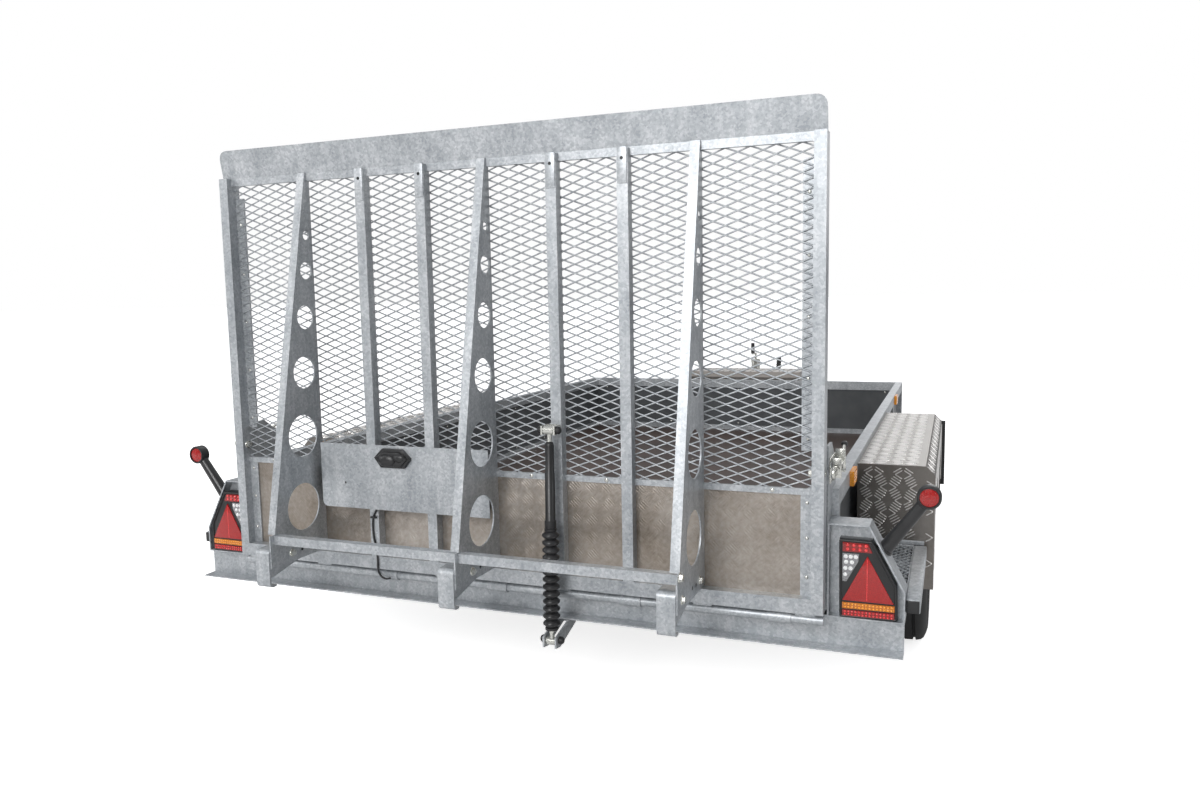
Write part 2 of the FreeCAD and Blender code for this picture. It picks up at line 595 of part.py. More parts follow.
# ---------------------------------------------------------------- jockey wheel
def jockey():
    at = ("jockey_side", "jockey_y")
    tube = rod("jockey_outer", "z", "jockey_tube_radius", "jockey_tube_base", "jockey_tube_top", at)
    bore = rod("jockey_bore", "z", "jockey_leg_radius + jockey_play", "jockey_tube_base - 5",
               "jockey_tube_top - 8", at)
    clamp = block("clamp_block", ("jockey_side", "-drawbar_nose_half"),
                  ("jockey_y - 20", "jockey_y + 20"), ("chassis_base + 5", "floor_base - 5"))
    clamp_low = cut("clamp_clear", clamp, rod("clamp_bore", "z", "jockey_leg_radius + jockey_play",
                                              "chassis_base", "floor_base", at))
    keep(joined("jockey_sleeve", [cut("jockey_shell", tube, bore), clamp_low]), "jockey_clamp")

    stem = rod("crank_stem", "z", "8", "jockey_tube_top", "jockey_tube_top + 40", at)
    arm = block("crank_arm", ("jockey_side - 8", "jockey_side + 8"), ("jockey_y - 110", "jockey_y + 8"),
                ("jockey_tube_top + 40", "jockey_tube_top + 46"))
    grip = rod("crank_grip", "z", "11", "jockey_tube_top + 46", "jockey_tube_top + 120",
               ("jockey_side", "jockey_y - 98"))
    keep(joined("crank", [stem, arm, grip]), "jockey_crank")

    leg = rod("leg_tube", "z", "jockey_leg_radius", "jockey_leg_base", "jockey_leg_top", at)
    keep(leg, "jockey_leg")

    axle_y = "jockey_y - jockey_trail"
    level = "jockey_wheel_radius"
    crown_base = "jockey_leg_base - 10.3"
    gap = "jockey_side + jockey_wheel_width / 2 + fork_gap"
    cheek_outline = [("jockey_y - 26", crown_base), (f"{axle_y} - 14", f"{level} + 6"),
                     (f"{axle_y} - 10", f"{level} - 12"), (f"{axle_y} + 10", f"{level} - 12"),
                     ("jockey_y + 26", crown_base)]
    cheeks = [
        plate("cheek_outer", "YZ", cheek_outline, gap, f"{gap} + fork_sheet"),
        plate("cheek_inner", "YZ", cheek_outline,
              "jockey_side - jockey_wheel_width / 2 - fork_gap - fork_sheet",
              "jockey_side - jockey_wheel_width / 2 - fork_gap"),
    ]
    half = "jockey_wheel_width / 2 + fork_gap + fork_sheet"
    crown = block("crown", (f"jockey_side - ({half})", f"jockey_side + {half}"),
                  ("jockey_y - 26", "jockey_y + 26"), (crown_base, "jockey_leg_base - 0.3"))
    pin = rod("jockey_axle", "x", "jockey_axle_radius", f"jockey_side - ({half})",
              f"jockey_side + {half}", (axle_y, level))
    keep(joined("fork", [*cheeks, crown, pin]), "jockey_fork")

    left = "jockey_side - jockey_wheel_width / 2"
    right = "jockey_side + jockey_wheel_width / 2"
    outline = [(left, "jockey_axle_radius + 0.05"), (left, "jockey_wheel_radius - 8"),
               (f"{left} + 8", "jockey_wheel_radius"), (f"{right} - 8", "jockey_wheel_radius"),
               (right, "jockey_wheel_radius - 8"), (right, "jockey_axle_radius + 0.05")]
    keep(turned("jockey_roller", outline, axle_y, level), "jockey_wheel")


# ---------------------------------------------------------------- ramp
def ramp_frame():
    deep = ("ramp_rear", "rib_front")
    post = block("ramp_post", ("ramp_half_width - post_width", "ramp_half_width"),
                 ("ramp_rear", "ramp_rear + post_depth"), ("ramp_base", "ramp_top"))
    pieces = pair(post)
    inner = ("post_width - ramp_half_width", "ramp_half_width - post_width")
    pieces.append(block("ramp_foot_rail", inner, deep,
                        ("ramp_base", "ramp_base + ramp_rail_height")))
    pieces.append(block("ramp_mid_rail", inner, ("rib_front - 8", "rib_front"),
                        ("mid_rail_base", "mid_rail_base + mid_rail_height")))
    pieces.append(block("ramp_head_rail", inner, ("rib_front - 12", "rib_front"),
                        ("ramp_top - 22", "ramp_top")))
    for number in (-2, -1, 1, 2):
        middle = f"rib_spacing * {number}"
        pieces.append(block("rib", (f"{middle} - rib_width / 2", f"{middle} + rib_width / 2"),
                            deep, ("ramp_base + ramp_rail_height", "ramp_top - 3")))
    strip = block("edge_strip", ("ramp_half_width - post_width - 30", "ramp_half_width - post_width"),
                  ("rib_front + mesh_thickness", "rib_front + mesh_thickness + 6"),
                  ("mid_rail_base + 110", "ramp_top - 58"))
    pieces += pair(strip)
    pieces += pair(block("sheet_strip", ("ramp_half_width - post_width - 30",
                                         "ramp_half_width - post_width"),
                         ("rib_front - 4", "rib_front"),
                         ("ramp_base + ramp_rail_height", "mid_rail_base")))
    pieces.append(rod("hinge_rod", "x", "hinge_rod_radius", "10 - ramp_half_width",
                      "ramp_half_width", ("hinge_y", "hinge_z")))
    for side in RAMP_KNUCKLE_SIDES:
        pieces.append(block("ramp_knuckle", (f"{side} - 25", f"{side} + 25"),
                            ("hinge_y - 7", "hinge_y + 7"), ("hinge_z", "ramp_base")))
    keep(joined("frame", pieces), "ramp_frame")


def ramp_skins():
    inner = ("post_width - ramp_half_width", "ramp_half_width - post_width")
    keep(block("mesh_panel", inner, ("rib_front", "rib_front + mesh_thickness"),
               ("mid_rail_base + mid_rail_height / 2", "ramp_top")), "ramp_mesh")
    keep(block("tread_sheet", inner, ("rib_front", "rib_front + ramp_sheet_thickness"),
               ("ramp_base + 20", "mid_rail_base + mid_rail_height / 2")), "ramp_sheet")
    lip = plate("lip", "YZ", [("rib_front - 10", "ramp_top"),
                              ("rib_front - 10 + lip_thickness", "ramp_top"),
                              ("rib_front - 10 + lip_thickness - lip_lean", "ramp_top + lip_height"),
                              ("rib_front - 10 - lip_lean", "ramp_top + lip_height")],
                "-ramp_half_width", "ramp_half_width")
    keep(lip, "ramp_lip")


FIN_HOLES = (("180", "ramp_base + 193", "70"), ("194", "ramp_base + 403", "62.5"),
             ("214", "ramp_base + 590", "47"), ("231", "ramp_base + 753", "35"),
             ("245", "ramp_base + 890", "25"), ("253", "ramp_base + 993", "13"))


def fins():
    """Tapered stiffeners with lightening holes and a flange along the rear edge."""
    rear = [("fin_rear", "crossbar_base + crossbar_size + 2"), ("fin_rear + 110", "ramp_base + 688"),
            ("fin_rear + 210", "ramp_top")]
    root = "rib_front"
    sill = "mid_rail_base - fin_notch"
    head = "ramp_top - 22 - fin_notch"
    foot_back = "fin_rear - 20"
    tail = "ramp_base + ramp_rail_height"
    outline = [(root, f"{tail} + 6"), (root, sill), (f"{root} - 8 - fin_notch", sill),
               (f"{root} - 8 - fin_notch", "mid_rail_base + mid_rail_height + fin_notch"),
               (root, "mid_rail_base + mid_rail_height + fin_notch"), (root, head),
               (f"{root} - 12 - fin_notch", head), (f"{root} - 12 - fin_notch", "ramp_top"),
               rear[2], rear[1], rear[0],
               (foot_back, "crossbar_base + crossbar_size + 2"), (foot_back, f"{tail} + 3"),
               ("ramp_rear - 0.5", f"{tail} + 3"), ("ramp_rear - 0.5", f"{tail} + 6")]
    flange = rear + [(f"{across} + fin_plate", up) for across, up in reversed(rear)]
    holes = [(f"fin_rear + {across} - 50", up, radius) for across, up, radius in FIN_HOLES]
    fin_set = []
    bars = []
    feet = []
    for number, side in enumerate(("-fin_spacing", "0", "fin_spacing")):
        face = f"{side} - fin_plate / 2"
        web = plate(f"fin_{number}", "YZ", outline, face, f"{side} + fin_plate / 2", holes)
        edge = plate(f"fin_edge_{number}", "YZ", flange, f"{face} - fin_flange + 4", face)
        fin_set.append(joined(f"fin_both_{number}", [web, edge]))
        strap = [
            block("foot_strap", (f"{face} - foot_width", face), ("fin_rear - 26", "fin_rear - 20"),
                  ("foot_base", "foot_base + foot_height")),
            block("foot_top", (f"{face} - foot_width", face), ("fin_rear - 26", "ramp_rear - 0.5"),
                  ("foot_base + foot_height - foot_sheet", "foot_base + foot_height")),
            block("foot_curl", (f"{face} - foot_width", face), ("fin_rear - 26", "fin_rear"),
                  ("foot_base", "foot_base + foot_sheet")),
            block("foot_arm", (f"{face} - 10", face), ("fin_rear - 22", "fin_rear + 150"),
                  (f"{tail} + 3", "foot_base + foot_height - 8")),
        ]
        feet.append(joined(f"foot_{number}", strap))
    for number, side in enumerate(("-fin_spacing", "0")):
        bars.append(block(f"bar_{number}", (f"{side} + fin_plate / 2",
                                            f"{side} + fin_spacing - fin_plate / 2"),
                          ("fin_rear - 5", "fin_rear - 5 + crossbar_size"),
                          ("crossbar_base", "crossbar_base + crossbar_size")))
    keep(grouped("fins", fin_set), "ramp_fins")
    keep(grouped("bars", bars), "ramp_crossbar")
    keep(grouped("feet", feet), "ramp_feet")


def number_plate():
    outline = [("holder_left", "holder_base + 14"), ("holder_left + 4", "holder_base + 4"),
               ("holder_left + 14", "holder_base"), ("holder_right", "holder_base"),
               ("holder_right", "holder_base + holder_height"),
               ("holder_left", "holder_base + holder_height")]
    middle = "(holder_left + holder_right) / 2"
    holes = [(f"{middle} - 200", "holder_base + 76", "holder_hole_radius"),
             (f"{middle} + 200", "holder_base + 76", "holder_hole_radius")]
    keep(plate("holder", "XZ", outline, "ramp_rear - holder_sheet", "ramp_rear", holes),
         "plate_holder")
    top = "holder_base + holder_height - 8"
    right = "plate_lamp_left + plate_lamp_width"
    lamp_outline = [("plate_lamp_left + 25", f"{top} - 56"), (f"{right} - 25", f"{top} - 56"),
                    (right, f"{top} - 25"), (f"{right} - 30", top),
                    ("plate_lamp_left + 30", top), ("plate_lamp_left", f"{top} - 25")]
    keep(plate("plate_lamp_body", "XZ", lamp_outline, "ramp_rear - holder_sheet - plate_lamp_depth",
               "ramp_rear - holder_sheet"), "plate_lamp")


# The lead's points on the ribs' rear face, (x, z), from the plate lamp to the hinge.
CABLE_ROUTE = ((-389, 543.5), (-402, 522), (-405, 495), (-404, 460), (-395, 425), (-393, 390),
               (-394, 358), (-384, 340), (-366, 334), (-352, 338))


def lamp_cable():
    """The lamp's lead: straight runs joined by tangent arcs, clipped down the rib."""
    level = value("ramp_rear - cable_radius")
    points = [Vector(x, level, z) for x, z in CABLE_ROUTE]
    edges = []
    start = points[0]
    for before, corner, after in zip(points, points[1:], points[2:]):
        back = (before - corner).normalize()
        ahead = (after - corner).normalize()
        setback = 0.45 * min(before.distanceToPoint(corner), corner.distanceToPoint(after))
        turn = math.pi - back.getAngle(ahead)
        inward = (back + ahead).normalize()
        bulge = setback * math.tan(turn / 4)
        entry = corner + back * setback
        leave = corner + ahead * setback
        crown = (entry + leave) * 0.5 - inward * bulge
        edges.append(Part.LineSegment(start, entry).toShape())
        edges.append(Part.Arc(entry, crown, leave).toShape())
        start = leave
    edges.append(Part.LineSegment(start, points[-1]).toShape())
    path = Part.Wire(edges)
    circle = Part.makeCircle(value("cable_radius"), points[0], points[1] - points[0])
    lead = doc.addObject("Part::Feature", "cable_tube")
    lead.Shape = path.makePipeShell([Part.Wire([circle])], True, True)
    print("lead", round(path.Length), "mm, section times length over volume",
          round(math.pi * value("cable_radius") ** 2 * path.Length / lead.Shape.Volume, 4))
    keep(lead, "lamp_cable")


# ---------------------------------------------------------------- lifting strut
def strut():
    """Barrel hung from the ramp, rod down to the bracket, bellows between them."""
    top = Vector(value("strut_side"), value("strut_top_y"), value("strut_top_height"))
    foot = Vector(value("strut_side"), value("strut_foot_y"), value("strut_foot_height"))
    lean = Rotation(Vector(0, 0, 1), top - foot)
    reach = "sqrt((strut_top_height - strut_foot_height)^2 + (strut_foot_back - strut_top_back)^2)"

    def along(name, radius, low, high):
        """A cylinder on the strut's line, measured up from the lower eye."""
        item = doc.addObject("Part::Cylinder", name)
        bind(item, "Radius", radius)
        bind(item, "Height", f"({high}) - ({low})")
        share = f"({low}) / {reach}"
        put(item, "strut_side", f"strut_foot_y + (strut_foot_back - strut_top_back) * {share}",
            f"strut_foot_height + (strut_top_height - strut_foot_height) * {share}")
        item.Placement.Rotation = lean
        return item

    def eye(name, y, z):
        return rod(name, "x", "strut_eye_radius", "strut_side - strut_width / 2",
                   "strut_side + strut_width / 2", (y, z))

    barrel_low = f"{reach} - strut_barrel_length"
    neck_low = f"{reach} - strut_neck"
    barrel = joined("barrel_solid", [along("barrel_tube", "strut_barrel_radius", barrel_low, neck_low),
                                     along("barrel_neck", "strut_rod_radius", neck_low, reach),
                                     eye("barrel_eye", "strut_top_y", "strut_top_height")])
    bore = along("barrel_bore", "strut_rod_radius + strut_play", f"{barrel_low} - 5",
                 f"{barrel_low} + strut_stroke + 8")
    keep(cut("barrel", barrel, bore), "strut_cylinder")
    rod_body = along("rod_body", "strut_rod_radius", "0", f"{barrel_low} + 2")
    keep(joined("rod_set", [rod_body, eye("rod_eye", "strut_foot_y", "strut_foot_height")]),
         "strut_rod")
    sleeve = along("bellows_tube", "bellows_radius", "32", "32 + bellows_length")
    hole = along("bellows_bore", "strut_rod_radius + strut_play", "20", "40 + bellows_length")
    keep(cut("bellows", sleeve, hole), "strut_bellows")

    wide = "strut_width / 2 + 0.5"
    ears = []
    for number, low in enumerate((f"strut_side + {wide}", f"strut_side - ({wide}) - bracket_sheet")):
        ears.append(block(f"clevis_ear_{number}", (low, f"{low} + bracket_sheet"),
                          ("strut_top_y - 12", "ramp_rear"),
                          ("strut_top_height - 12", "strut_top_height + 12")))
    back = block("clevis_back", (f"strut_side - ({wide}) - bracket_sheet",
                                 f"strut_side + {wide} + bracket_sheet"),
                 ("ramp_rear - 8", "ramp_rear"), ("strut_top_height - 12", "strut_top_height + 12"))
    keep(joined("clevis", [*ears, back]), "strut_clevis")


def main():
    chassis()
    rear_beam()
    strut_bracket()
    walls()
    latch_posts()
    lamps()
    steps()
    mudguards()
    running_gear()
    drawbar()
    toolbox()
    jockey()
    ramp_frame()
    ramp_skins()
    fins()
    number_plate()
    lamp_cable()
    strut()
    doc.recompute()
    for item in doc.Objects:
        if "Invalid" in item.State or "Error" in item.State:
            raise RuntimeError(f"{item.Label}: {item.State}")
    for item in nodes:
        if item.Shape.isNull() or not item.Shape.isValid():
            raise RuntimeError(f"{item.Label}: bad shape")
    os.makedirs("parts", exist_ok=True)
    for item in nodes:
        item.Shape.exportStep(f"parts/{item.Label}.step")
    print(len(nodes), "nodes")


main()
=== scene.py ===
"""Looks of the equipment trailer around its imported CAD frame."""
import json
import math
import bmesh
import bpy
from mathutils import Matrix, Vector


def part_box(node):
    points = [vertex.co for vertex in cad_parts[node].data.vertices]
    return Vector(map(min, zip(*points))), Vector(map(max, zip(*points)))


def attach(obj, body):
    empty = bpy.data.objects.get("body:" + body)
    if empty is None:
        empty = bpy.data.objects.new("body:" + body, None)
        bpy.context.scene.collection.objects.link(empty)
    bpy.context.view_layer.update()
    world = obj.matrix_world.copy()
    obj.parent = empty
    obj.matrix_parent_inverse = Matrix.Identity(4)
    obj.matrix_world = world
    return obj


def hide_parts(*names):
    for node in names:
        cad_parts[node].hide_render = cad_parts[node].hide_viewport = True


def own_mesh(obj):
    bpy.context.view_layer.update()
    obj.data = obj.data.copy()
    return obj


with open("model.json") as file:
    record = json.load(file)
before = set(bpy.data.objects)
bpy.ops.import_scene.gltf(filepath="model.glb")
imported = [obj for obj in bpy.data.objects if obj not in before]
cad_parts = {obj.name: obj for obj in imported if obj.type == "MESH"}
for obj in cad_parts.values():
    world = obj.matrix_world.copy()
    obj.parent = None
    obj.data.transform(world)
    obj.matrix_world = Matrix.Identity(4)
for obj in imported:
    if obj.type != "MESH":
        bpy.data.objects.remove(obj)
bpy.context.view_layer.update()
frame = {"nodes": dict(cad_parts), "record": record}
JOINTS = {joint["name"]: joint for joint in frame["record"]["behaviour"]["joints"]}
SIDES = (1, -1)
FIN_SIDES = (-0.6, 0.0, 0.6)
RIB_SIDES = (-0.4, -0.2, 0.2, 0.4)


# ---------------------------------------------------------------- shader maths
class Signal:
    """A number socket that adds Math nodes when it is used in an expression."""

    def __init__(self, finish, socket):
        self.finish = finish
        self.socket = socket

    def math(self, operation, *others, clamp=False):
        settings = {"operation": operation, "use_clamp": clamp}
        return self.finish.node("ShaderNodeMath", settings, {0: self, **dict(enumerate(others, 1))})

    def __add__(self, other):
        return self.math("ADD", other)

    def __mul__(self, other):
        return self.math("MULTIPLY", other)

    def __sub__(self, other):
        return self.math("SUBTRACT", other)

    def __truediv__(self, other):
        return self.math("DIVIDE", other)

    def __rsub__(self, other):
        return (self * -1) + other

    def __abs__(self):
        return self.math("ABSOLUTE")

    __radd__ = __add__
    __rmul__ = __mul__

    def above(self, limit):
        return self.math("GREATER_THAN", limit)

    def smooth(self, low, high):
        """0 below low, 1 above high."""
        return ((self - low) / (high - low)).math("MULTIPLY", 1, clamp=True)


class Finish:
    """A Principled material built from expressions."""

    def __init__(self, name, color, roughness=0.5, metallic=0.0, **fixed):
        self.material = bpy.data.materials.new(name)
        self.material.use_nodes = True
        self.tree = self.material.node_tree
        self.shader = self.tree.nodes["Principled BSDF"]
        self.set("Base Color", (*color, 1))
        self.set("Roughness", roughness)
        self.set("Metallic", metallic)
        for socket, number in fixed.items():
            self.set(socket.replace("_", " "), number)
        self.place = self.node("ShaderNodeTexCoord", {}, {}, "Object")

    def set(self, socket, number):
        self.plug(self.shader.inputs[socket], number)

    def plug(self, socket, number):
        if isinstance(number, Signal):
            self.tree.links.new(number.socket, socket)
        else:
            socket.default_value = number

    def node(self, kind, settings, inputs, output=0):
        node = self.tree.nodes.new(kind)
        for name, setting in settings.items():
            if name == "stops":
                for stop, (place, shade) in zip(self.stops(node, len(setting)), setting):
                    stop.position = place
                    stop.color = (*shade, 1)
            else:
                setattr(node, name, setting)
        for name, number in inputs.items():
            self.plug(node.inputs[name], number)
        return Signal(self, node.outputs[output])

    def stops(self, node, count):
        while len(node.color_ramp.elements) < count:
            node.color_ramp.elements.new(0.5)
        return node.color_ramp.elements

    def noise(self, scale, detail=3.0, stretch=None):
        vector = self.place
        if stretch:
            vector = self.node("ShaderNodeMapping", {}, {"Vector": vector, "Scale": stretch})
        inputs = {"Vector": vector, "Scale": scale, "Detail": detail}
        return self.node("ShaderNodeTexNoise", {}, inputs, "Fac")

    def ramp(self, signal, *stops):
        return self.node("ShaderNodeValToRGB", {"stops": stops}, {"Fac": signal})

    def bump(self, height, strength, distance):
        inputs = {"Height": height, "Strength": strength, "Distance": distance}
        self.set("Normal", self.node("ShaderNodeBump", {}, inputs))

    def axis(self, source, name):
        return self.node("ShaderNodeSeparateXYZ", {}, {"Vector": source}, name)


def grey(level, warm=0.0):
    return (level + warm, level, level - warm)


def galvanised():
    """Hot-dip zinc: small spangle cells, soft clouds and pale runs on a bluish grey."""
    finish = Finish("galvanised", grey(0.45), metallic=0.62)
    spangle = finish.node("ShaderNodeTexVoronoi", {}, {"Vector": finish.place, "Scale": 170.0}, "Color")
    cell = finish.axis(spangle, "X")
    cloud = finish.noise(9.0, 6.0)
    streak = finish.noise(14.0, 5.0, (3.0, 3.0, 0.5))
    fine = finish.noise(320.0, 2.0)
    tone = cell * 0.24 + cloud * 0.42 + streak * 0.42 + fine * 0.22 - 0.15
    finish.set("Base Color", finish.ramp(tone, (0.25, (0.27, 0.29, 0.31)), (0.5, (0.40, 0.42, 0.44)),
                                         (0.75, (0.57, 0.585, 0.60))))
    finish.set("Roughness", 0.33 + cloud * 0.16 + cell * 0.06)
    finish.bump(cell * 0.1 + finish.noise(70.0, 4.0), 0.12, 0.001)
    return finish.material


def five_bar(finish, pitch):
    """Height of a five-bar tread: groups of bars at right angles in a chequer."""
    normal = finish.node("ShaderNodeNewGeometry", {}, {}, "True Normal")
    side_on = abs(finish.axis(normal, "X")).above(0.7)
    flat_on = abs(finish.axis(normal, "Z")).above(0.7)
    x, y, z = (finish.axis(finish.place, name) for name in "XYZ")
    across = x + (y - x) * side_on
    up = z + (y - z) * flat_on
    first = (across + up) * (0.7071 / pitch)
    second = (across - up) * (0.7071 / pitch)
    odd = ((first.math("FLOOR") + second.math("FLOOR")) * 0.5).math("FRACT").above(0.25)
    local_first = first.math("FRACT") - 0.5
    local_second = second.math("FRACT") - 0.5
    along = local_first + (local_second - local_first) * odd
    beside = local_second + (local_first - local_second) * odd
    bar = ((beside * 5.0).math("FRACT") - 0.5) * 2.0
    reach = (along / 0.46).math("POWER", 2.0) + (bar / 0.62).math("POWER", 2.0)
    return 1.0 - reach.smooth(0.35, 1.0)


def tread_plate(name, light, dark, warm, relief=False):
    """Mill-finish aluminium with soft clouds and fine scratches; relief adds faint bars. The clouds are
    partly mottling and partly painted reflection, strongest on the ramp's sheet.
    """
    finish = Finish(name, grey(light), metallic=0.88)
    cloud = finish.noise(5.0, 4.0)
    scuff = finish.noise(90.0, 2.0, (1.0, 6.0, 1.0))
    tone = cloud * 0.7 + scuff * 0.3
    finish.set("Base Color", finish.ramp(tone, (0.25, grey(dark, warm)), (0.8, grey(light, warm))))
    finish.set("Roughness", 0.24 + cloud * 0.16 + scuff * 0.05)
    if relief:
        finish.bump(five_bar(finish, 0.034) + cloud * 3.0, 0.35, 0.0012)
    else:
        finish.bump(scuff + cloud * 0.8, 0.2, 0.0008)
    return finish.material


def film_ply():
    finish = Finish("floor_ply", (0.05, 0.03, 0.025))
    wire = finish.node("ShaderNodeTexVoronoi", {"feature": "DISTANCE_TO_EDGE"},
                       {"Vector": finish.place, "Scale": 220.0}, "Distance")
    cloud = finish.noise(3.0, 5.0)
    low, high = (0.030, 0.018, 0.014), (0.075, 0.048, 0.038)
    finish.set("Base Color", finish.ramp(cloud, (0.3, low), (0.75, high)))
    finish.set("Roughness", 0.42 + cloud * 0.2)
    finish.bump(wire, 0.3, 0.0006)
    return finish.material


def plain(name, color, roughness, metallic=0.0, mottle=0.15, grain=240.0, bump=0.12, **fixed):
    """A moulded, painted or plated finish with a little mottling and grain."""
    finish = Finish(name, color, roughness, metallic, **fixed)
    cloud = finish.noise(12.0, 4.0)
    low = tuple(part * (1 - mottle) for part in color)
    high = tuple(min(1.0, part * (1 + mottle)) for part in color)
    finish.set("Base Color", finish.ramp(cloud, (0.3, low), (0.7, high)))
    finish.set("Roughness", roughness - 0.06 + cloud * 0.12)
    finish.bump(finish.noise(grain, 2.0), bump, 0.0005)
    return finish.material


def lens(name, color, glow):
    """Coloured lens with a grid of small prisms under a clear coat."""
    finish = Finish(name, color, 0.22, Coat_Weight=0.35)
    cells = finish.node("ShaderNodeTexVoronoi", {}, {"Vector": finish.place, "Scale": 420.0}, "Distance")
    low = tuple(part * 0.75 for part in color)
    finish.set("Base Color", finish.ramp(cells, (0.1, low), (0.6, glow)))
    finish.bump(cells, 0.15, 0.0006)
    return finish.material


FINISHES = {
    "galvanised": galvanised(),
    "tread_aluminium": tread_plate("tread_aluminium", 0.22, 0.14, 0.014),
    # painted highlight: the raised tread bars get a far lighter copy of the plate's aluminium, for the
    # light they catch
    "tread_bar_highlight": tread_plate("tread_bar_highlight", 0.86, 0.70, 0.02),
    "floor_ply": film_ply(),
    "black_plastic": plain("black_plastic", (0.014, 0.014, 0.015), 0.36),
    "lamp_lens": lens("red_lens", (0.26, 0.004, 0.004), (0.36, 0.008, 0.007)),
    "dark_red_lens": lens("dark_red_lens", (0.14, 0.006, 0.006), (0.26, 0.01, 0.01)),
    "amber_lens": lens("amber_lens", (0.70, 0.20, 0.015), (0.95, 0.38, 0.04)),
    "dark_amber_lens": lens("dark_amber_lens", (0.38, 0.10, 0.01), (0.55, 0.17, 0.015)),
    "white_lens": lens("white_lens", (0.62, 0.63, 0.64), (0.85, 0.85, 0.85)),
    "grey_lens": lens("grey_lens", (0.16, 0.16, 0.17), (0.26, 0.26, 0.27)),
    "bright_red_lens": lens("bright_red_lens", (0.50, 0.02, 0.02), (0.80, 0.05, 0.05)),
    "tyre_rubber": plain("tyre_rubber", (0.022, 0.022, 0.023), 0.72, mottle=0.3),
    "rim_steel": plain("rim_steel", (0.56, 0.57, 0.59), 0.34, 0.6),
    "rubber": plain("rubber", (0.014, 0.014, 0.015), 0.33, mottle=0.3),
    "zinc": plain("zinc", (0.64, 0.64, 0.60), 0.26, 0.9, mottle=0.2),
    # ramp_plate: its wide swing between dark and light clouds is partly mottling and partly painted
    # reflection across the ramp's sheet
    "ramp_plate": tread_plate("ramp_plate", 0.44, 0.14, 0.035, relief=True),
    "dark_panel": plain("dark_panel", (0.07, 0.075, 0.08), 0.42),
}


# ---------------------------------------------------------------- pieces
def dress(name, shape, body, slot, finish=None, nodes=()):
    """Make one piece from a bmesh, ride it on its body and give it its finish."""
    mesh = bpy.data.meshes.new(name)
    shape.to_mesh(mesh)
    shape.free()
    item = bpy.data.objects.new(name, mesh)
    bpy.context.scene.collection.objects.link(item)
    mesh.materials.append(FINISHES[finish or slot])
    if nodes:
        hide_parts(*nodes)
    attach(item, body)
    return item


def smooth(item, angle=35):
    item.data.shade_smooth()
    limit = math.radians(angle)
    shape = bmesh.new()
    shape.from_mesh(item.data)
    for edge in shape.edges:
        if edge.is_manifold and edge.calc_face_angle() > limit:
            edge.smooth = False
    shape.to_mesh(item.data)
    shape.free()
    return item


def prism(shape, outline, low, high, inset=0.0):
    """An (x, z) outline carried from y low to y high; inset bevels the rear edge."""
    ring = [shape.verts.new((x, low, z)) for x, z in outline]
    face = shape.faces.new(ring)
    grown = bmesh.ops.extrude_face_region(shape, geom=[face])["geom"]
    moved = [part for part in grown if isinstance(part, bmesh.types.BMVert)]
    bmesh.ops.translate(shape, verts=moved, vec=(0, high - low, 0))
    faces = list({link for vert in ring + moved for link in vert.link_faces})
    bmesh.ops.recalc_face_normals(shape, faces=faces)
    if inset:
        edges = {edge for vert in ring for edge in vert.link_edges if edge.other_vert(vert) in ring}
        bmesh.ops.bevel(shape, geom=list(edges), offset=inset, segments=2, profile=0.5,
                        affect="EDGES", material=-1)


def spun(profile, centre, axis, steps=48):
    """Turn a closed (along, radius) profile about an axis through the centre."""
    shape = bmesh.new()
    axis = Vector(axis).normalized()
    out = axis.orthogonal().normalized()
    ring = [shape.verts.new(Vector(centre) + axis * along + out * radius) for along, radius in profile]
    edges = [shape.edges.new((ring[here], ring[here - 1])) for here in range(len(ring))]
    bmesh.ops.spin(shape, geom=ring + edges, cent=centre, axis=axis, angle=math.tau, steps=steps,
                   use_merge=True)
    bmesh.ops.remove_doubles(shape, verts=shape.verts, dist=1e-5)
    bmesh.ops.recalc_face_normals(shape, faces=shape.faces)
    return shape


def add_bolt(shape, place, axis, radius, depth):
    """A washer and a hexagon head standing on a face."""
    turn = Vector((0, 0, 1)).rotation_difference(Vector(axis)).to_matrix().to_4x4()
    for size, low, high, sides in ((radius * 1.35, 0, 0.0015, 20), (radius, 0.0015, depth, 6)):
        move = Matrix.Translation(Vector(place)) @ turn @ Matrix.Translation((0, 0, (low + high) / 2))
        bmesh.ops.create_cone(shape, cap_ends=True, segments=sides, radius1=size, radius2=size * 0.94,
                              depth=high - low, matrix=move)


def add_block(shape, low, high, edge=0.0):
    """A box between two corners, its edges rounded where edge is given."""
    size = Vector(high) - Vector(low)
    middle = (Vector(low) + Vector(high)) / 2
    corners = bmesh.ops.create_cube(shape, size=1.0, matrix=Matrix.Translation(middle)
                                    @ Matrix.Diagonal((*size, 1)))["verts"]
    if edge:
        edges = list({edge_of for vert in corners for edge_of in vert.link_edges})
        bmesh.ops.bevel(shape, geom=edges, offset=edge, segments=2, profile=0.5, affect="EDGES")


def add_rod(shape, start, end, radius, tip=None, segments=20):
    """A round bar or cone between two points."""
    line = Vector(end) - Vector(start)
    turn = Vector((0, 0, 1)).rotation_difference(line).to_matrix().to_4x4()
    move = Matrix.Translation((Vector(start) + Vector(end)) / 2) @ turn
    bmesh.ops.create_cone(shape, cap_ends=True, segments=segments, radius1=radius,
                          radius2=radius if tip is None else tip, depth=line.length, matrix=move)


def add_dome(shape, place, radii, segments=10):
    """A whole ellipsoid; half of it shows where its middle lies on a face."""
    move = Matrix.Translation(Vector(place)) @ Matrix.Diagonal((*radii, 1))
    bmesh.ops.create_uvsphere(shape, u_segments=segments, v_segments=max(6, segments // 2 + 1),
                              radius=1.0, matrix=move)


def add_mesh(shape, other):
    """Copy another bmesh into this one and free it."""
    mesh = bpy.data.meshes.new("joined")
    other.to_mesh(mesh)
    other.free()
    shape.from_mesh(mesh)
    bpy.data.meshes.remove(mesh)


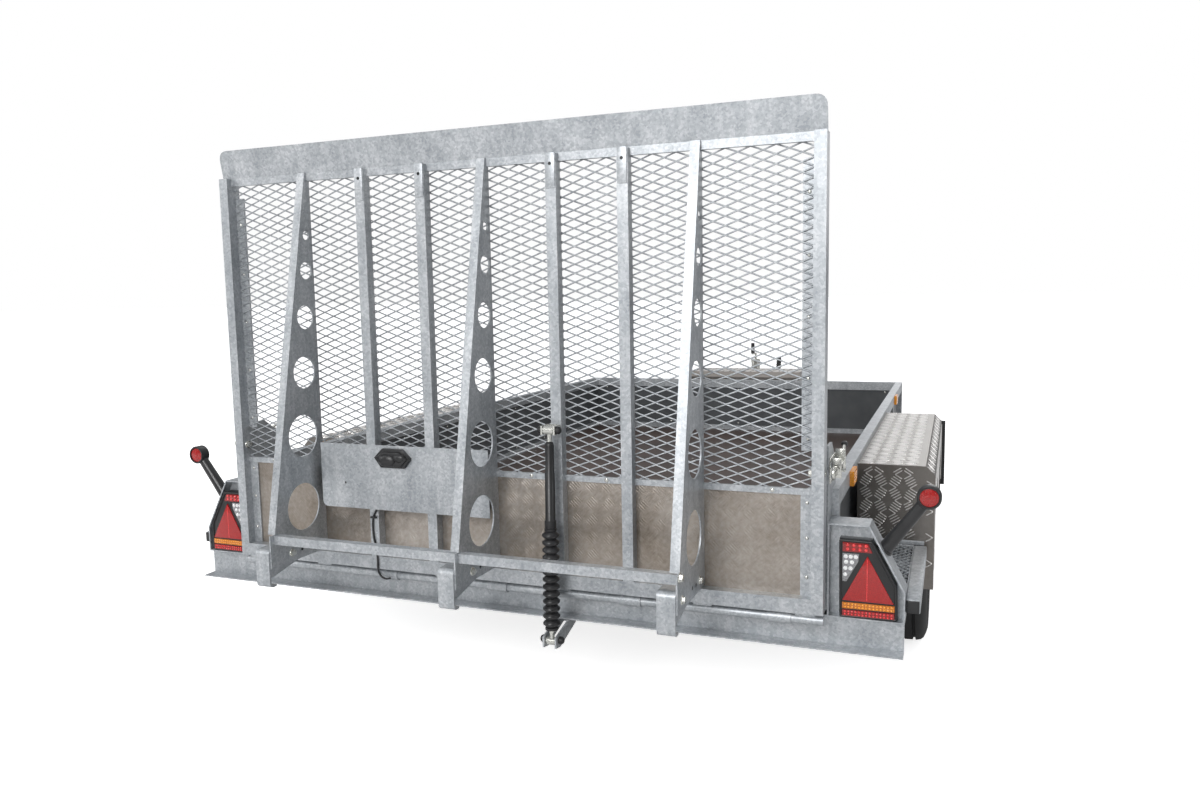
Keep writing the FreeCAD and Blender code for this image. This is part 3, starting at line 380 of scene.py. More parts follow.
def rounded(path, radius, steps=5):
    """An open path of points with its corners turned into arcs."""
    points = [Vector(point) for point in path]
    soft = [points[0]]
    for before, corner, after in zip(points, points[1:], points[2:]):
        reach = min(radius, (before - corner).length * 0.48, (after - corner).length * 0.48)
        entry = corner + (before - corner).normalized() * reach
        leave = corner + (after - corner).normalized() * reach
        for step in range(steps + 1):
            share = step / steps
            soft.append(entry * (1 - share) ** 2 + corner * 2 * share * (1 - share) + leave * share ** 2)
    return soft + [points[-1]]


def bent_strip(shape, path, thickness, low, high, radius=0.01):
    """A strip bent along a (y, z) path, from x low to x high."""
    line = rounded([(y, z) for y, z in path], radius)
    left, right = [], []
    for here, point in enumerate(line):
        ahead = line[min(here + 1, len(line) - 1)] - line[max(here - 1, 0)]
        side = Vector((-ahead.y, ahead.x)).normalized() * thickness / 2
        left.append(point + side)
        right.append(point - side)
    sides = []
    for x in (low, high):
        sides.append([shape.verts.new((x, *point)) for point in left + right[::-1]])
    count = len(sides[0])
    faces = [shape.faces.new([sides[0][here], sides[0][(here + 1) % count],
                              sides[1][(here + 1) % count], sides[1][here]]) for here in range(count)]
    for ring in sides:
        for here in range(len(left) - 1):
            faces.append(shape.faces.new([ring[here], ring[here + 1], ring[count - 2 - here],
                                          ring[count - 1 - here]]))
    bmesh.ops.recalc_face_normals(shape, faces=faces)


BAR_OUTLINE = ((0.5, 0.0), (0.36, 0.5), (-0.36, 0.5), (-0.5, 0.0), (-0.36, -0.5), (0.36, -0.5))


def tread_bars(shape, corner, across, up, width, height, inside=None):
    """Raised groups of five bars over a flat face; across x up points out of it."""
    corner, across, up = Vector(corner), Vector(across), Vector(up)
    out = across.cross(up)
    wide, tall, gap, slope = 0.043, 0.040, 0.0080, 0.56
    for column in range(int(width / wide) + 1):
        for row in range(int(height / tall) + 1):
            hand = 1 if (column + row) % 2 else -1
            along = (math.cos(slope), math.sin(slope) * hand)
            beside = (-along[1], along[0])
            for number in range(-2, 3):
                u = (column + 0.5) * wide + beside[0] * gap * number
                v = (row + 0.5) * tall + beside[1] * gap * number
                length = 0.034 - abs(number) * 0.0035
                ends = [(u + along[0] * length * end, v + along[1] * length * end) for end in (-0.5, 0.5)]
                if not all(0.001 < a < width - 0.001 and 0.001 < b < height - 0.001 for a, b in ends):
                    continue
                if inside and not all(inside(corner + across * a + up * b) for a, b in ends):
                    continue
                add_bar(shape, corner + across * u + up * v, across * along[0] + up * along[1],
                        across * beside[0] + up * beside[1], out, length)


def add_bar(shape, middle, along, beside, out, length):
    """One raised bar: a long six-sided base and a shorter, narrower top."""
    rings = []
    for lift, long_way, wide in ((-0.0003, length, 0.0040), (0.0018, length * 0.86, 0.0014)):
        rings.append([shape.verts.new(middle + out * lift + along * a * long_way + beside * b * wide)
                      for a, b in BAR_OUTLINE])
    base, top = rings
    for here in range(6):
        after = (here + 1) % 6
        shape.faces.new((base[here], base[after], top[after], top[here]))
    shape.faces.new(top)
    shape.faces.new(base[::-1])


# ---------------------------------------------------------------- ramp
def strand_net(corner, across, up, width, height, long_way, short_way, strand):
    """Zigzag strands that touch at their knuckles, as slit and stretched sheet does."""
    corner, across, up = Vector(corner), Vector(across), Vector(up)
    curve = bpy.data.curves.new("strands", "CURVE")
    curve.dimensions = "3D"
    curve.bevel_depth = strand
    curve.bevel_resolution = 0
    columns = round(width / (long_way / 2))
    rows = int((height - short_way / 2) / (short_way / 2))
    for row in range(rows + 1):
        spline = curve.splines.new("POLY")
        spline.points.add(columns)
        for column in range(columns + 1):
            rise = short_way / 4 * (-1) ** (row + column)
            place = corner + across * (width * column / columns)
            place += up * (short_way / 4 + row * short_way / 2 + rise)
            spline.points[column].co = (*place, 1)
    source = bpy.data.objects.new("strands_curve", curve)
    bpy.context.scene.collection.objects.link(source)
    bpy.context.view_layer.update()
    mesh = bpy.data.meshes.new_from_object(source)
    bpy.data.objects.remove(source)
    shape = bmesh.new()
    shape.from_mesh(mesh)
    return shape


def expanded_mesh():
    """The stretched sheet between the ramp's side posts."""
    low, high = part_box("ramp_mesh")
    corner = (low[0], (low[1] + high[1]) / 2, low[2])
    shape = strand_net(corner, (1, 0, 0), (0, 0, 1), high[0] - low[0], high[2] - low[2],
                       0.0632, 0.0236, 0.0023)
    dress("expanded_mesh", shape, "ramp", "galvanised", nodes=("ramp_mesh",))


def ramp_lip():
    """The lip sheet: leans back, its two top corners rounded."""
    low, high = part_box("ramp_lip")
    lean_back, thick, corner_radius = 0.015, 0.003, 0.03
    lean = -lean_back / (high[2] - low[2])
    path = [(low[0], low[2]), (low[0], high[2]), (high[0], high[2]), (high[0], low[2])]
    outline = [tuple(point) for point in rounded(path, corner_radius, 6)]
    shape = bmesh.new()
    prism(shape, outline, high[1] - thick, high[1])
    for vert in shape.verts:
        vert.co.y += lean * (vert.co.z - low[2])
    smooth(dress("ramp_lip_sheet", shape, "ramp", "galvanised", nodes=("ramp_lip",)))


def ramp_feet():
    """Bent straps below the fins, each on a flanged arm."""
    low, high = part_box("ramp_feet")
    shape = bmesh.new()
    strap, width, bend, arm_sheet, arm_gap = 0.006, 0.047, 0.014, 0.0055, 0.0005
    for side in FIN_SIDES:
        right = side - 0.002
        path = [(high[1], high[2] - strap / 2), (low[1] + strap / 2, high[2] - strap / 2),
                (low[1] + strap / 2, low[2] + strap / 2), (low[1] + 0.026, low[2] + strap / 2)]
        bent_strip(shape, path, strap, right - width, right, bend)
        arm = [(low[1] + 0.008, high[2] - strap), (high[1], high[2] - strap), (high[1], high[2] - 0.056),
               (high[1] - 0.09, high[2] - 0.056), (low[1] + 0.008, low[2] + 0.028)]
        ring = [shape.verts.new((right - arm_gap, y, z)) for y, z in arm]
        face = shape.faces.new(ring)
        grown = bmesh.ops.extrude_face_region(shape, geom=[face])["geom"]
        moved = [part for part in grown if isinstance(part, bmesh.types.BMVert)]
        bmesh.ops.translate(shape, verts=moved, vec=(-arm_sheet, 0, 0))
        faces = {near for vert in ring + moved for near in vert.link_faces}
        bmesh.ops.recalc_face_normals(shape, faces=list(faces))
    smooth(dress("foot_straps", shape, "ramp", "galvanised", nodes=("ramp_feet",)), 30)


def rib_tabs():
    """Drilled tabs at the top of the ribs and the clips that hold the lamp's lead; the tabs' holes are flat
    dark discs of painted shade.
    """
    low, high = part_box("ramp_frame")
    rear, top = low[1], high[2]
    tabs = bmesh.new()
    dark = bmesh.new()
    for x in RIB_SIDES:
        add_block(tabs, (x - 0.013, rear - 0.003, top - 0.093), (x + 0.013, rear, top - 0.002), 0.0008)
        # painted shade: a flat dark disc in the rubber finish stands for each tab's drilled hole
        add_rod(dark, (x, rear - 0.0035, top - 0.03), (x, rear - 0.001, top - 0.03), 0.0045)
    lead_low, lead_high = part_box("lamp_cable")
    left = lead_low[0]
    for z in (lead_high[2] - 0.025, lead_low[2] + 0.09):
        add_block(dark, (left - 0.002, rear - 0.0075, z - 0.003), (left + 0.018, rear, z + 0.003), 0.001)
    smooth(dress("rib_tabs", tabs, "ramp", "galvanised"))
    smooth(dress("lead_clips_and_hole_shade", dark, "ramp", "rubber"))


def ramp_bolts():
    """Bolts of the fins and feet, rivets along the sheet's edges, and slots in the feet as flat dark discs
    of painted shade.
    """
    shape = bmesh.new()
    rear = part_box("ramp_frame")[0][1]
    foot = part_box("ramp_feet")[0]
    crossbar_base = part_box("ramp_crossbar")[0][2]
    sheet_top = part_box("ramp_sheet")[1][2]
    right_fin = FIN_SIDES[-1]
    for side in FIN_SIDES:
        face = side + 0.002
        if side == right_fin:
            add_bolt(shape, (face, foot[1] + 0.024, crossbar_base + 0.018), (1, 0, 0), 0.010, 0.009)
        for lead in (0.046 if side == right_fin else 0.095, 0.208):
            add_bolt(shape, (face, foot[1] + lead, foot[2] + 0.08), (1, 0, 0), 0.009, 0.008)
    for number in range(8):
        x = -0.78 + 1.56 * number / 7
        add_dome(shape, (x, rear + 0.022, sheet_top), (0.006, 0.0025, 0.006), 12)
    for side in SIDES:
        for z in (0.45, 0.55, 0.64, 0.80, 0.95, 1.10, 1.25, 1.40):
            depth = 0.026 if z < sheet_top else 0.033
            add_dome(shape, (side * 0.866, rear + depth, z), (0.005, 0.003, 0.005), 12)
    smooth(dress("ramp_bolts", shape, "ramp", "zinc"))
    # painted shade: flat dark discs in the rubber finish stand for the slots in the feet
    slots = bmesh.new()
    for side in FIN_SIDES:
        for lead, lift in ((0.138, 0.080), (0.172, 0.078)):
            place = Vector((side + 0.0018, foot[1] + lead, foot[2] + lift))
            add_rod(slots, place, place + Vector((0.0006, 0, 0)), 0.005)
    dress("foot_slot_shade", slots, "ramp", "rubber")


def bellows():
    """Rubber folds on the strut, between plain collars."""
    joint = JOINTS["strut_slide"]
    axis = Vector(joint["axis"]).normalized()
    low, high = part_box("strut_bellows")
    start = Vector(((low[0] + high[0]) / 2, low[1] + 0.0245, low[2] + 0.001))
    length = (high[2] - low[2] - 0.002) / axis.z
    folds = 13
    inner, outer = 0.0145, 0.0238
    ring = [(0.0, 0.0085), (0.0, 0.018), (0.006, 0.018)]
    pitch = (length - 0.016) / folds
    for fold in range(folds):
        base = 0.008 + fold * pitch
        ring += [(base, inner), (base + pitch * 0.35, outer - 0.0006), (base + pitch * 0.5, outer),
                 (base + pitch * 0.65, outer - 0.0006)]
    ring += [(length - 0.008, inner), (length - 0.006, 0.017), (length, 0.017), (length, 0.0085)]
    shape = spun(ring, start, axis, 36)
    item = dress("strut_bellows_folds", shape, "strut_shaft", "rubber", nodes=("strut_bellows",))
    smooth(item, 60)
    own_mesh(item)


def strut():
    """Glossy barrel with collars, a zinc eye at the top and capped pins at both ends."""
    axis = Vector(JOINTS["strut_slide"]["axis"]).normalized()
    top = Vector(JOINTS["strut_swing"]["pos_m"])
    length = (top.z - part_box("strut_cylinder")[0][2]) / axis.z - 0.0005
    profile = [(-length, 0.0078), (-length, 0.0155), (-length + 0.012, 0.0162), (-length + 0.020, 0.0162),
               (-length + 0.022, 0.0138), (-length + 0.15, 0.0136), (-length + 0.152, 0.0126),
               (-0.042, 0.0122), (-0.034, 0.0105), (-0.031, 0.006), (-0.031, 0.0)]
    shape = spun(profile + [(-length + 0.23, 0.0), (-length + 0.228, 0.0078)], top, axis, 32)
    smooth(dress("strut_tube", shape, "strut_barrel", "black_plastic", nodes=("strut_cylinder",)), 50)
    eye = bmesh.new()
    add_rod(eye, top - axis * 0.034, top, 0.0065)
    add_rod(eye, top - Vector((0.014, 0, 0)), top + Vector((0.014, 0, 0)), 0.0125, segments=28)
    smooth(dress("strut_top_eye", eye, "strut_barrel", "zinc"))
    rod_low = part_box("strut_rod")[0]
    foot = Vector((top.x, rod_low[1] + 0.014, rod_low[2] + 0.014))
    for place, body, name in ((top, "ramp", "strut_top"), (foot, "trailer", "strut_foot")):
        pin = bmesh.new()
        add_rod(pin, place - Vector((0.024, 0, 0)), place + Vector((0.024, 0, 0)), 0.0065)
        smooth(dress(name + "_pin", pin, body, "zinc"))
        caps = bmesh.new()
        for side in SIDES:
            base = place + Vector((side * 0.0212, 0, 0))
            add_rod(caps, base, base + Vector((side * 0.008, 0, 0)), 0.0105)
            add_dome(caps, base + Vector((side * 0.008, 0, 0)), (0.006, 0.0095, 0.0095), 16)
        smooth(dress(name + "_caps", caps, body, "black_plastic"), 50)


# ---------------------------------------------------------------- lamps
LAMP_LOOKS = {"black": "black_plastic", "red": "lamp_lens", "dark_red": "dark_red_lens",
              "dots": "bright_red_lens", "amber": "dark_amber_lens", "amber_dots": "amber_lens",
              "white": "grey_lens", "white_dots": "white_lens"}
# Outlines of the right lamp: distance from the middle, height above its box.
LAMP_OUTLINE = ((0.944, 0.005), (1.082, 0.007), (1.080, 0.094), (1.020, 0.205), (0.942, 0.206))
LAMP_MIDDLE = (1.005, 0.09)
LAMP_TRIANGLE = ((0.950, 0.049), (1.074, 0.049), (1.010, 0.166))
LAMP_FACES = (
    ("dark_red", ((0.950, 0.009), (1.076, 0.010), (1.076, 0.026), (0.950, 0.025))),
    ("dark_red", ((0.950, 0.174), (1.022, 0.174), (1.012, 0.197), (0.950, 0.198))),
    ("amber", ((0.950, 0.028), (1.076, 0.029), (1.076, 0.045), (0.950, 0.044))),
    ("white", ((0.950, 0.098), (0.960, 0.098), (0.988, 0.150), (0.990, 0.170), (0.950, 0.170))))
# Rows of light points: finish, first and last place, heights, count, radius.
LAMP_ROWS = (
    ("dots", 0.953, 1.073, (0.014, 0.021), 14, 0.0028),
    ("amber_dots", 0.953, 1.073, (0.033, 0.040), 14, 0.0028),
    ("dots", 0.955, 1.014, (0.181, 0.191), 4, 0.0042),
    ("white_dots", 0.952, 0.988, (0.162,), 3, 0.0055),
    ("white_dots", 0.952, 0.980, (0.148,), 2, 0.0055),
    ("white_dots", 0.951, 0.976, (0.132,), 2, 0.0055),
    ("white_dots", 0.950, 0.964, (0.116,), 1, 0.0050))


def tail_lamps():
    """Framed lamps: a red triangle, dotted strips and a small clear window."""
    low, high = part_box("tail_lamps")
    rear, front = low[1], high[1]
    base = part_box("light_boxes")[0][2]
    face, back = rear + 0.0005, rear + 0.006
    shapes = {name: bmesh.new() for name in LAMP_LOOKS}
    middle = Vector(LAMP_MIDDLE)
    rim = [middle + (Vector(point) - middle) * 0.965 for point in LAMP_OUTLINE]
    for side in SIDES:
        def place(points):
            return [(side * x, base + z) for x, z in points]

        prism(shapes["black"], place(LAMP_OUTLINE), rear + 0.003, front, 0.003)
        for start, end in zip(place(rim), place(rim[1:] + rim[:1])):
            add_rod(shapes["black"], (start[0], rear + 0.003, start[1]), (end[0], rear + 0.003, end[1]),
                    0.0028, segments=10)
        prism(shapes["red"], place(LAMP_TRIANGLE), face - 0.001, back, 0.0015)
        for name, outline in LAMP_FACES:
            prism(shapes[name], place(outline), face, back, 0.001)
        ridge = side * LAMP_TRIANGLE[2][0]
        add_block(shapes["dots"], (ridge - 0.0012, rear - 0.0008, base + 0.052),
                  (ridge + 0.0012, rear + 0.002, base + 0.158), 0.0006)
        for name, first, last, lifts, count, size in LAMP_ROWS:
            for lift in lifts:
                for number in range(count):
                    x = first + (last - first) * (number + 0.5) / count
                    add_dome(shapes[name], (side * x, face, base + lift), (size, 0.0022, size))
    for name, shape in shapes.items():
        slot = "amber_lens" if name.startswith("amber") else "lamp_lens"
        nodes = ("tail_lamps",) if name == "black" else ()
        smooth(dress("lamp_" + name, shape, "trailer", slot, LAMP_LOOKS[name], nodes=nodes), 40)


def marker_lamps():
    """Round red lamps on leaning rubber stalks."""
    low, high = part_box("marker_lamps")
    rear, front = low[1], high[1]
    radius = 0.029
    stalk_side, stalk_base = 1.046, 0.518
    rubber = bmesh.new()
    red = bmesh.new()
    for side in SIDES:
        head = Vector((side * (high[0] - radius), (rear + front) / 2, high[2] - radius))
        foot = Vector((side * stalk_side, head.y + 0.002, stalk_base))
        line = head - foot
        stations = ((0.0, 0.03, 0.022, 0.0215), (0.03, 0.45, 0.0185, 0.0165), (0.45, 1.0, 0.0165, 0.0145))
        for start, end, wide, narrow in stations:
            add_rod(rubber, foot + line * start, foot + line * end, wide, narrow, 28)
        ring = [(rear + 0.004 - head.y, 0.001), (rear + 0.004 - head.y, 0.0225), (rear - head.y, 0.0235),
                (rear - head.y, radius - 0.002), (rear + 0.003 - head.y, radius),
                (front - 0.006 - head.y, radius), (front - head.y, radius - 0.007), (front - head.y, 0.001)]
        add_mesh(rubber, spun(ring, head, (0, 1, 0)))
        add_mesh(red, spun([(rear + 0.0005 - head.y, 0.0005), (rear + 0.001 - head.y, 0.012),
                            (rear + 0.003 - head.y, 0.0222), (rear + 0.006 - head.y, 0.0222),
                            (rear + 0.006 - head.y, 0.0005)], head, (0, 1, 0)))
        for number in range(18):
            angle, reach = number * 2.4, 0.0046 * math.sqrt(number + 0.4)
            add_dome(red, (head.x + math.cos(angle) * reach, rear + 0.0012 + reach * 0.06,
                           head.z + math.sin(angle) * reach), (0.0020, 0.0012, 0.0020), 8)
    smooth(dress("marker_stalks", rubber, "trailer", "lamp_lens", "rubber", nodes=("marker_lamps",)))
    smooth(dress("marker_lenses", red, "trailer", "lamp_lens"), 50)


def plate_lamp():
    """Hooded lamp: a six-sided base, a stepped hood and two rounded noses."""
    low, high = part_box("plate_lamp")
    width, rise = high[0] - low[0], high[2] - low[2]
    shape = bmesh.new()

    def ring(inset, drop):
        return [(low[0] + inset + 0.022, low[2] + inset), (high[0] - inset - 0.022, low[2] + inset),
                (high[0] - inset, low[2] + rise * 0.52), (high[0] - inset - 0.028, high[2] - inset - drop),
                (low[0] + inset + 0.028, high[2] - inset - drop), (low[0] + inset, low[2] + rise * 0.52)]

    prism(shape, ring(0.0, 0.0), high[1] - 0.012, high[1], 0.002)
    prism(shape, ring(0.006, 0.002), low[1] + 0.010, high[1] - 0.010, 0.004)
    middle = (low[0] + width * 0.40, low[1] + 0.0125, low[2] + rise * 0.42)
    add_dome(shape, middle, (0.030, 0.012, 0.019), 28)
    beside = (low[0] + width * 0.74, low[1] + 0.0135, low[2] + rise * 0.56)
    add_dome(shape, beside, (0.020, 0.010, 0.013), 24)
    smooth(dress("plate_lamp_hood", shape, "ramp", "black_plastic", nodes=("plate_lamp",)), 45)


# ---------------------------------------------------------------- bed, steps and mudguards
# Plates of a latch between two corners: outward, forward and up from its post.
LATCH_PLATES = (
    ((0, 0.008, -0.035), (0.004, 0.125, 0.03)), ((0.004, 0.012, 0.012), (0.030, 0.120, 0.015)),
    ((0.004, 0.100, -0.02), (0.030, 0.106, 0.04)), ((0.004, 0.012, -0.02), (0.030, 0.018, 0.03)))


def latches():
    """Overcentre latches: plate, spring barrel, eye bolt, hook and handle on each ear."""
    low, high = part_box("latch_posts")
    rear, level = low[1], high[2] - 0.063
    post_face, out = 0.9125, 0.016
    shape = bmesh.new()
    dark = bmesh.new()
    for side in SIDES:
        def at(outward, along, up):
            return Vector((side * (post_face + outward), rear + along, level + up))

        for low_corner, high_corner in LATCH_PLATES:
            corners = list(zip(at(*low_corner), at(*high_corner)))
            add_block(shape, [min(pair) for pair in corners], [max(pair) for pair in corners], 0.001)
        add_rod(shape, at(out, -0.03, 0), at(out, 0.135, 0), 0.0055)
        for start, end, radius in ((0.022, 0.040, 0.0115), (0.044, 0.060, 0.0135), (0.066, 0.092, 0.0105),
                                   (0.108, 0.116, 0.0120), (-0.006, 0.004, 0.0125)):
            add_rod(shape, at(out, start, 0), at(out, end, 0), radius, segments=28)
        turns = [math.tau * step / 10 for step in range(10)]
        add_mesh(shape, spun([(0.004 * math.cos(turn), 0.013 + 0.004 * math.sin(turn)) for turn in turns],
                             at(out, -0.030, 0), (1, 0, 0), 24))
        add_rod(shape, at(0.022, 0.095, 0.014), at(0.020, 0.165, 0.042), 0.0045)
        add_dome(dark, at(0.020, 0.168, 0.043), (0.009, 0.012, 0.008), 16)
        for along in (0.030, 0.090):
            add_bolt(shape, at(0.004, along, -0.024), (side, 0, 0), 0.0065, 0.006)
        add_bolt(shape, at(0.030, 0.05, 0), (side, 0, 0), 0.007, 0.006)
    smooth(dress("ramp_latches", shape, "trailer", "zinc"))
    smooth(dress("latch_knobs", dark, "trailer", "rubber"))
    pins = bmesh.new()
    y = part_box("ramp_frame")[0][1] + 0.022
    for side in SIDES:
        inner = side * 0.880
        add_bolt(pins, (inner, y, level), (-side, 0, 0), 0.009, 0.010)
        add_rod(pins, (inner, y, level), (side * 0.9115, y, level), 0.006)
    smooth(dress("latch_bolts", pins, "ramp", "zinc"))


def side_steps():
    """Grip planks of stretched sheet in a folded frame, with a plugged outer tube."""
    low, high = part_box("side_steps")
    top = high[2]
    folded = bmesh.new()
    grip = bmesh.new()
    plug = bmesh.new()
    inner, edge, outer = 0.950, 1.100, 1.135
    rear, front = -2.115, high[1]
    sheet, fold = 0.003, 0.015
    for side in SIDES:
        def box(shape, a, b, soft=0.001):
            corners = [sorted(pair) for pair in zip((side * a[0], *a[1:]), (side * b[0], *b[1:]))]
            add_block(shape, [pair[0] for pair in corners], [pair[1] for pair in corners], soft)

        box(folded, (edge, low[1], top - 0.035), (outer, front, top), 0.003)
        box(folded, (inner, rear, top - fold), (inner + sheet, front, top))
        box(folded, (edge - sheet, rear, top - fold), (edge, front, top))
        for y in (rear, front - sheet):
            box(folded, (inner, y, top - fold), (edge, y + sheet, top))
        for y in (rear + 0.060, front - 0.110):
            box(folded, (0.930, y, low[2] + 0.0002), (edge, y + 0.040, top - fold), 0.002)
        box(plug, (edge + 0.002, low[1] - 0.006, top - 0.033), (outer - 0.002, low[1] + 0.001, top - 0.002))
        add_mesh(grip, strand_net((side * (inner + sheet), rear, top - 0.0035), (0, 1, 0), (side, 0, 0),
                                  front - rear, edge - inner - 2 * sheet, 0.032, 0.0235, 0.0032))
    smooth(dress("step_frames", folded, "trailer", "galvanised", nodes=("side_steps",)))
    dress("step_grips", grip, "trailer", "galvanised")
    smooth(dress("step_plugs", plug, "trailer", "black_plastic"))


def mudguard_tread():
    """Tread bars over every face of both mudguards, and the folded lip behind each."""
    low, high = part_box("mudguard_right")
    inner, outer = low[0] + 0.004, high[0]
    rear, front, base, top = low[1], high[1], low[2], high[2]
    fold, arch, middle_low, face_low = 0.028, 0.288, 0.403, 0.409
    flat, skirt = outer - fold - inner, top - fold - base
    wheels = []
    for end in ("rear", "front"):
        rim_low, rim_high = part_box(f"rim_{end}_right")
        wheels.append(((rim_low[1] + rim_high[1]) / 2, (rim_low[2] + rim_high[2]) / 2))

    def clear(point):
        """Whether a point of the skirt lies outside the arches and the gap between them."""
        outside = all(math.hypot(point.y - y, point.z - z) > arch for y, z in wheels)
        return outside and not (wheels[0][0] < point.y < wheels[1][0] and point.z < middle_low)

    for side, name in ((1, "right"), (-1, "left")):
        shape = bmesh.new()
        start = inner if side > 0 else fold - outer
        foot = rear if side > 0 else front
        tread_bars(shape, (start, rear, top), (1, 0, 0), (0, 1, 0), flat, front - rear)
        tread_bars(shape, (start, rear, face_low), (1, 0, 0), (0, 0, 1), flat, top - face_low)
        tread_bars(shape, (-start, front, face_low), (-1, 0, 0), (0, 0, 1), flat, top - face_low)
        tread_bars(shape, (side * outer, foot, base), (0, side, 0), (0, 0, 1), front - rear, skirt, clear)
        slope = Vector((-side, 0, 1)).normalized()
        tread_bars(shape, (side * outer, foot, top - fold), (0, side, 0), slope, front - rear,
                   fold * math.sqrt(2))
        corner = outer - fold if side > 0 else -outer
        tread_bars(shape, (corner, rear, base), (1, 0, 0), (0, 0, 1), fold, skirt)
        dress(f"mudguard_bars_{name}", shape, "trailer", "tread_aluminium", "tread_bar_highlight")
        lip = bmesh.new()
        edge_low, edge_high = sorted((side * inner, side * (outer - fold)))
        add_block(lip, (edge_low, rear - 0.0015, 0.396), (edge_high, rear + 0.012, face_low), 0.001)
        smooth(dress(f"mudguard_lip_{name}", lip, "trailer", "galvanised"))


def ramp_tread():
    """Tread bars on the inner face of the ramp's lower sheet."""
    low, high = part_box("ramp_sheet")
    shape = bmesh.new()
    tread_bars(shape, (high[0], high[1], low[2]), (-1, 0, 0), (0, 0, 1), high[0] - low[0], high[2] - low[2])
    dress("ramp_bars", shape, "ramp", "tread_aluminium", "tread_bar_highlight")


def toolbox_tread():
    """Tread bars on the toolbox and its lid, and the two latches with their keepers."""
    low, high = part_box("toolbox")
    rear, front, base = 0.960, high[1], low[2]
    wide, deep = high[0] - low[0], front - rear
    seam, fold = 0.6395, 0.030
    shape = bmesh.new()
    tread_bars(shape, (low[0], rear, base), (1, 0, 0), (0, 0, 1), wide, seam - 0.012 - base)
    tread_bars(shape, (high[0], front, base), (-1, 0, 0), (0, 0, 1), wide, seam - base)
    tread_bars(shape, (high[0], rear, base), (0, 1, 0), (0, 0, 1), deep, seam - base)
    tread_bars(shape, (low[0], front, base), (0, -1, 0), (0, 0, 1), deep, seam - base)
    dress("toolbox_bars", shape, "trailer", "tread_aluminium", "tread_bar_highlight")
    lid = bmesh.new()
    lid_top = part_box("toolbox_lid")[1][2]
    tread_bars(lid, (low[0], rear + fold, lid_top), (1, 0, 0), (0, 1, 0), wide, deep - 2 * fold)
    dress("toolbox_lid_bars", lid, "lid", "tread_aluminium", "tread_bar_highlight")
    zinc = bmesh.new()
    keeper = bmesh.new()
    for x in (-0.2, 0.2):
        face = front + 0.004
        add_block(zinc, (x - 0.022, front, seam - 0.075), (x + 0.022, face, seam - 0.006), 0.001)
        add_block(zinc, (x - 0.012, face, seam - 0.065), (x + 0.012, face + 0.008, seam - 0.012), 0.002)
        for lift in (0.068, 0.020):
            for side in SIDES:
                add_bolt(zinc, (x + side * 0.0175, face, seam - lift), (0, 1, 0), 0.003, 0.003)
        add_block(keeper, (x - 0.014, front, seam + 0.004), (x + 0.014, front + 0.007, seam + 0.020), 0.001)
    smooth(dress("toolbox_latches", zinc, "trailer", "zinc"))
    smooth(dress("toolbox_keepers", keeper, "lid", "zinc"))


def bed_fasteners():
    """Screws in the floor, rivets along the wall panels, ridges on the side markers."""
    low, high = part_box("bed_floor")
    screws = bmesh.new()
    for row in range(7):
        y = low[1] + 0.03 + (high[1] - low[1] - 0.06) * row / 6
        for x in (-0.86, -0.45, 0.0, 0.45, 0.86):
            add_dome(screws, (x, y, high[2]), (0.0065, 0.0065, 0.0016), 12)
    wall_low, wall_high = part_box("wall_panels")
    panel_face = 0.9028
    for z in (wall_low[2] + 0.012, wall_high[2] - 0.012):
        for row in range(9):
            y = min(-2.0 + 0.34 * row, 0.83)
            for side in SIDES:
                add_dome(screws, (side * panel_face, y, z), (0.002, 0.0055, 0.0055), 12)
        for column in range(5):
            add_dome(screws, (-0.84 + 0.42 * column, wall_high[1] - 0.004, z), (0.0055, 0.002, 0.0055), 12)
    smooth(dress("bed_screws", screws, "trailer", "zinc"), 60)
    marks = bmesh.new()
    side_low, side_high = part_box("side_markers")
    ridge = Vector((0.0008, 0.036, 0.0015))
    for side in SIDES:
        for y in (side_low[1] + 0.045, side_high[1] - 0.045):
            for lift in (0.012, 0.021, 0.030):
                middle = Vector((side * 0.942, y, side_low[2] + lift))
                add_block(marks, middle - ridge, middle + ridge, 0.0005)
    dress("side_marker_ridges", marks, "trailer", "amber_lens")


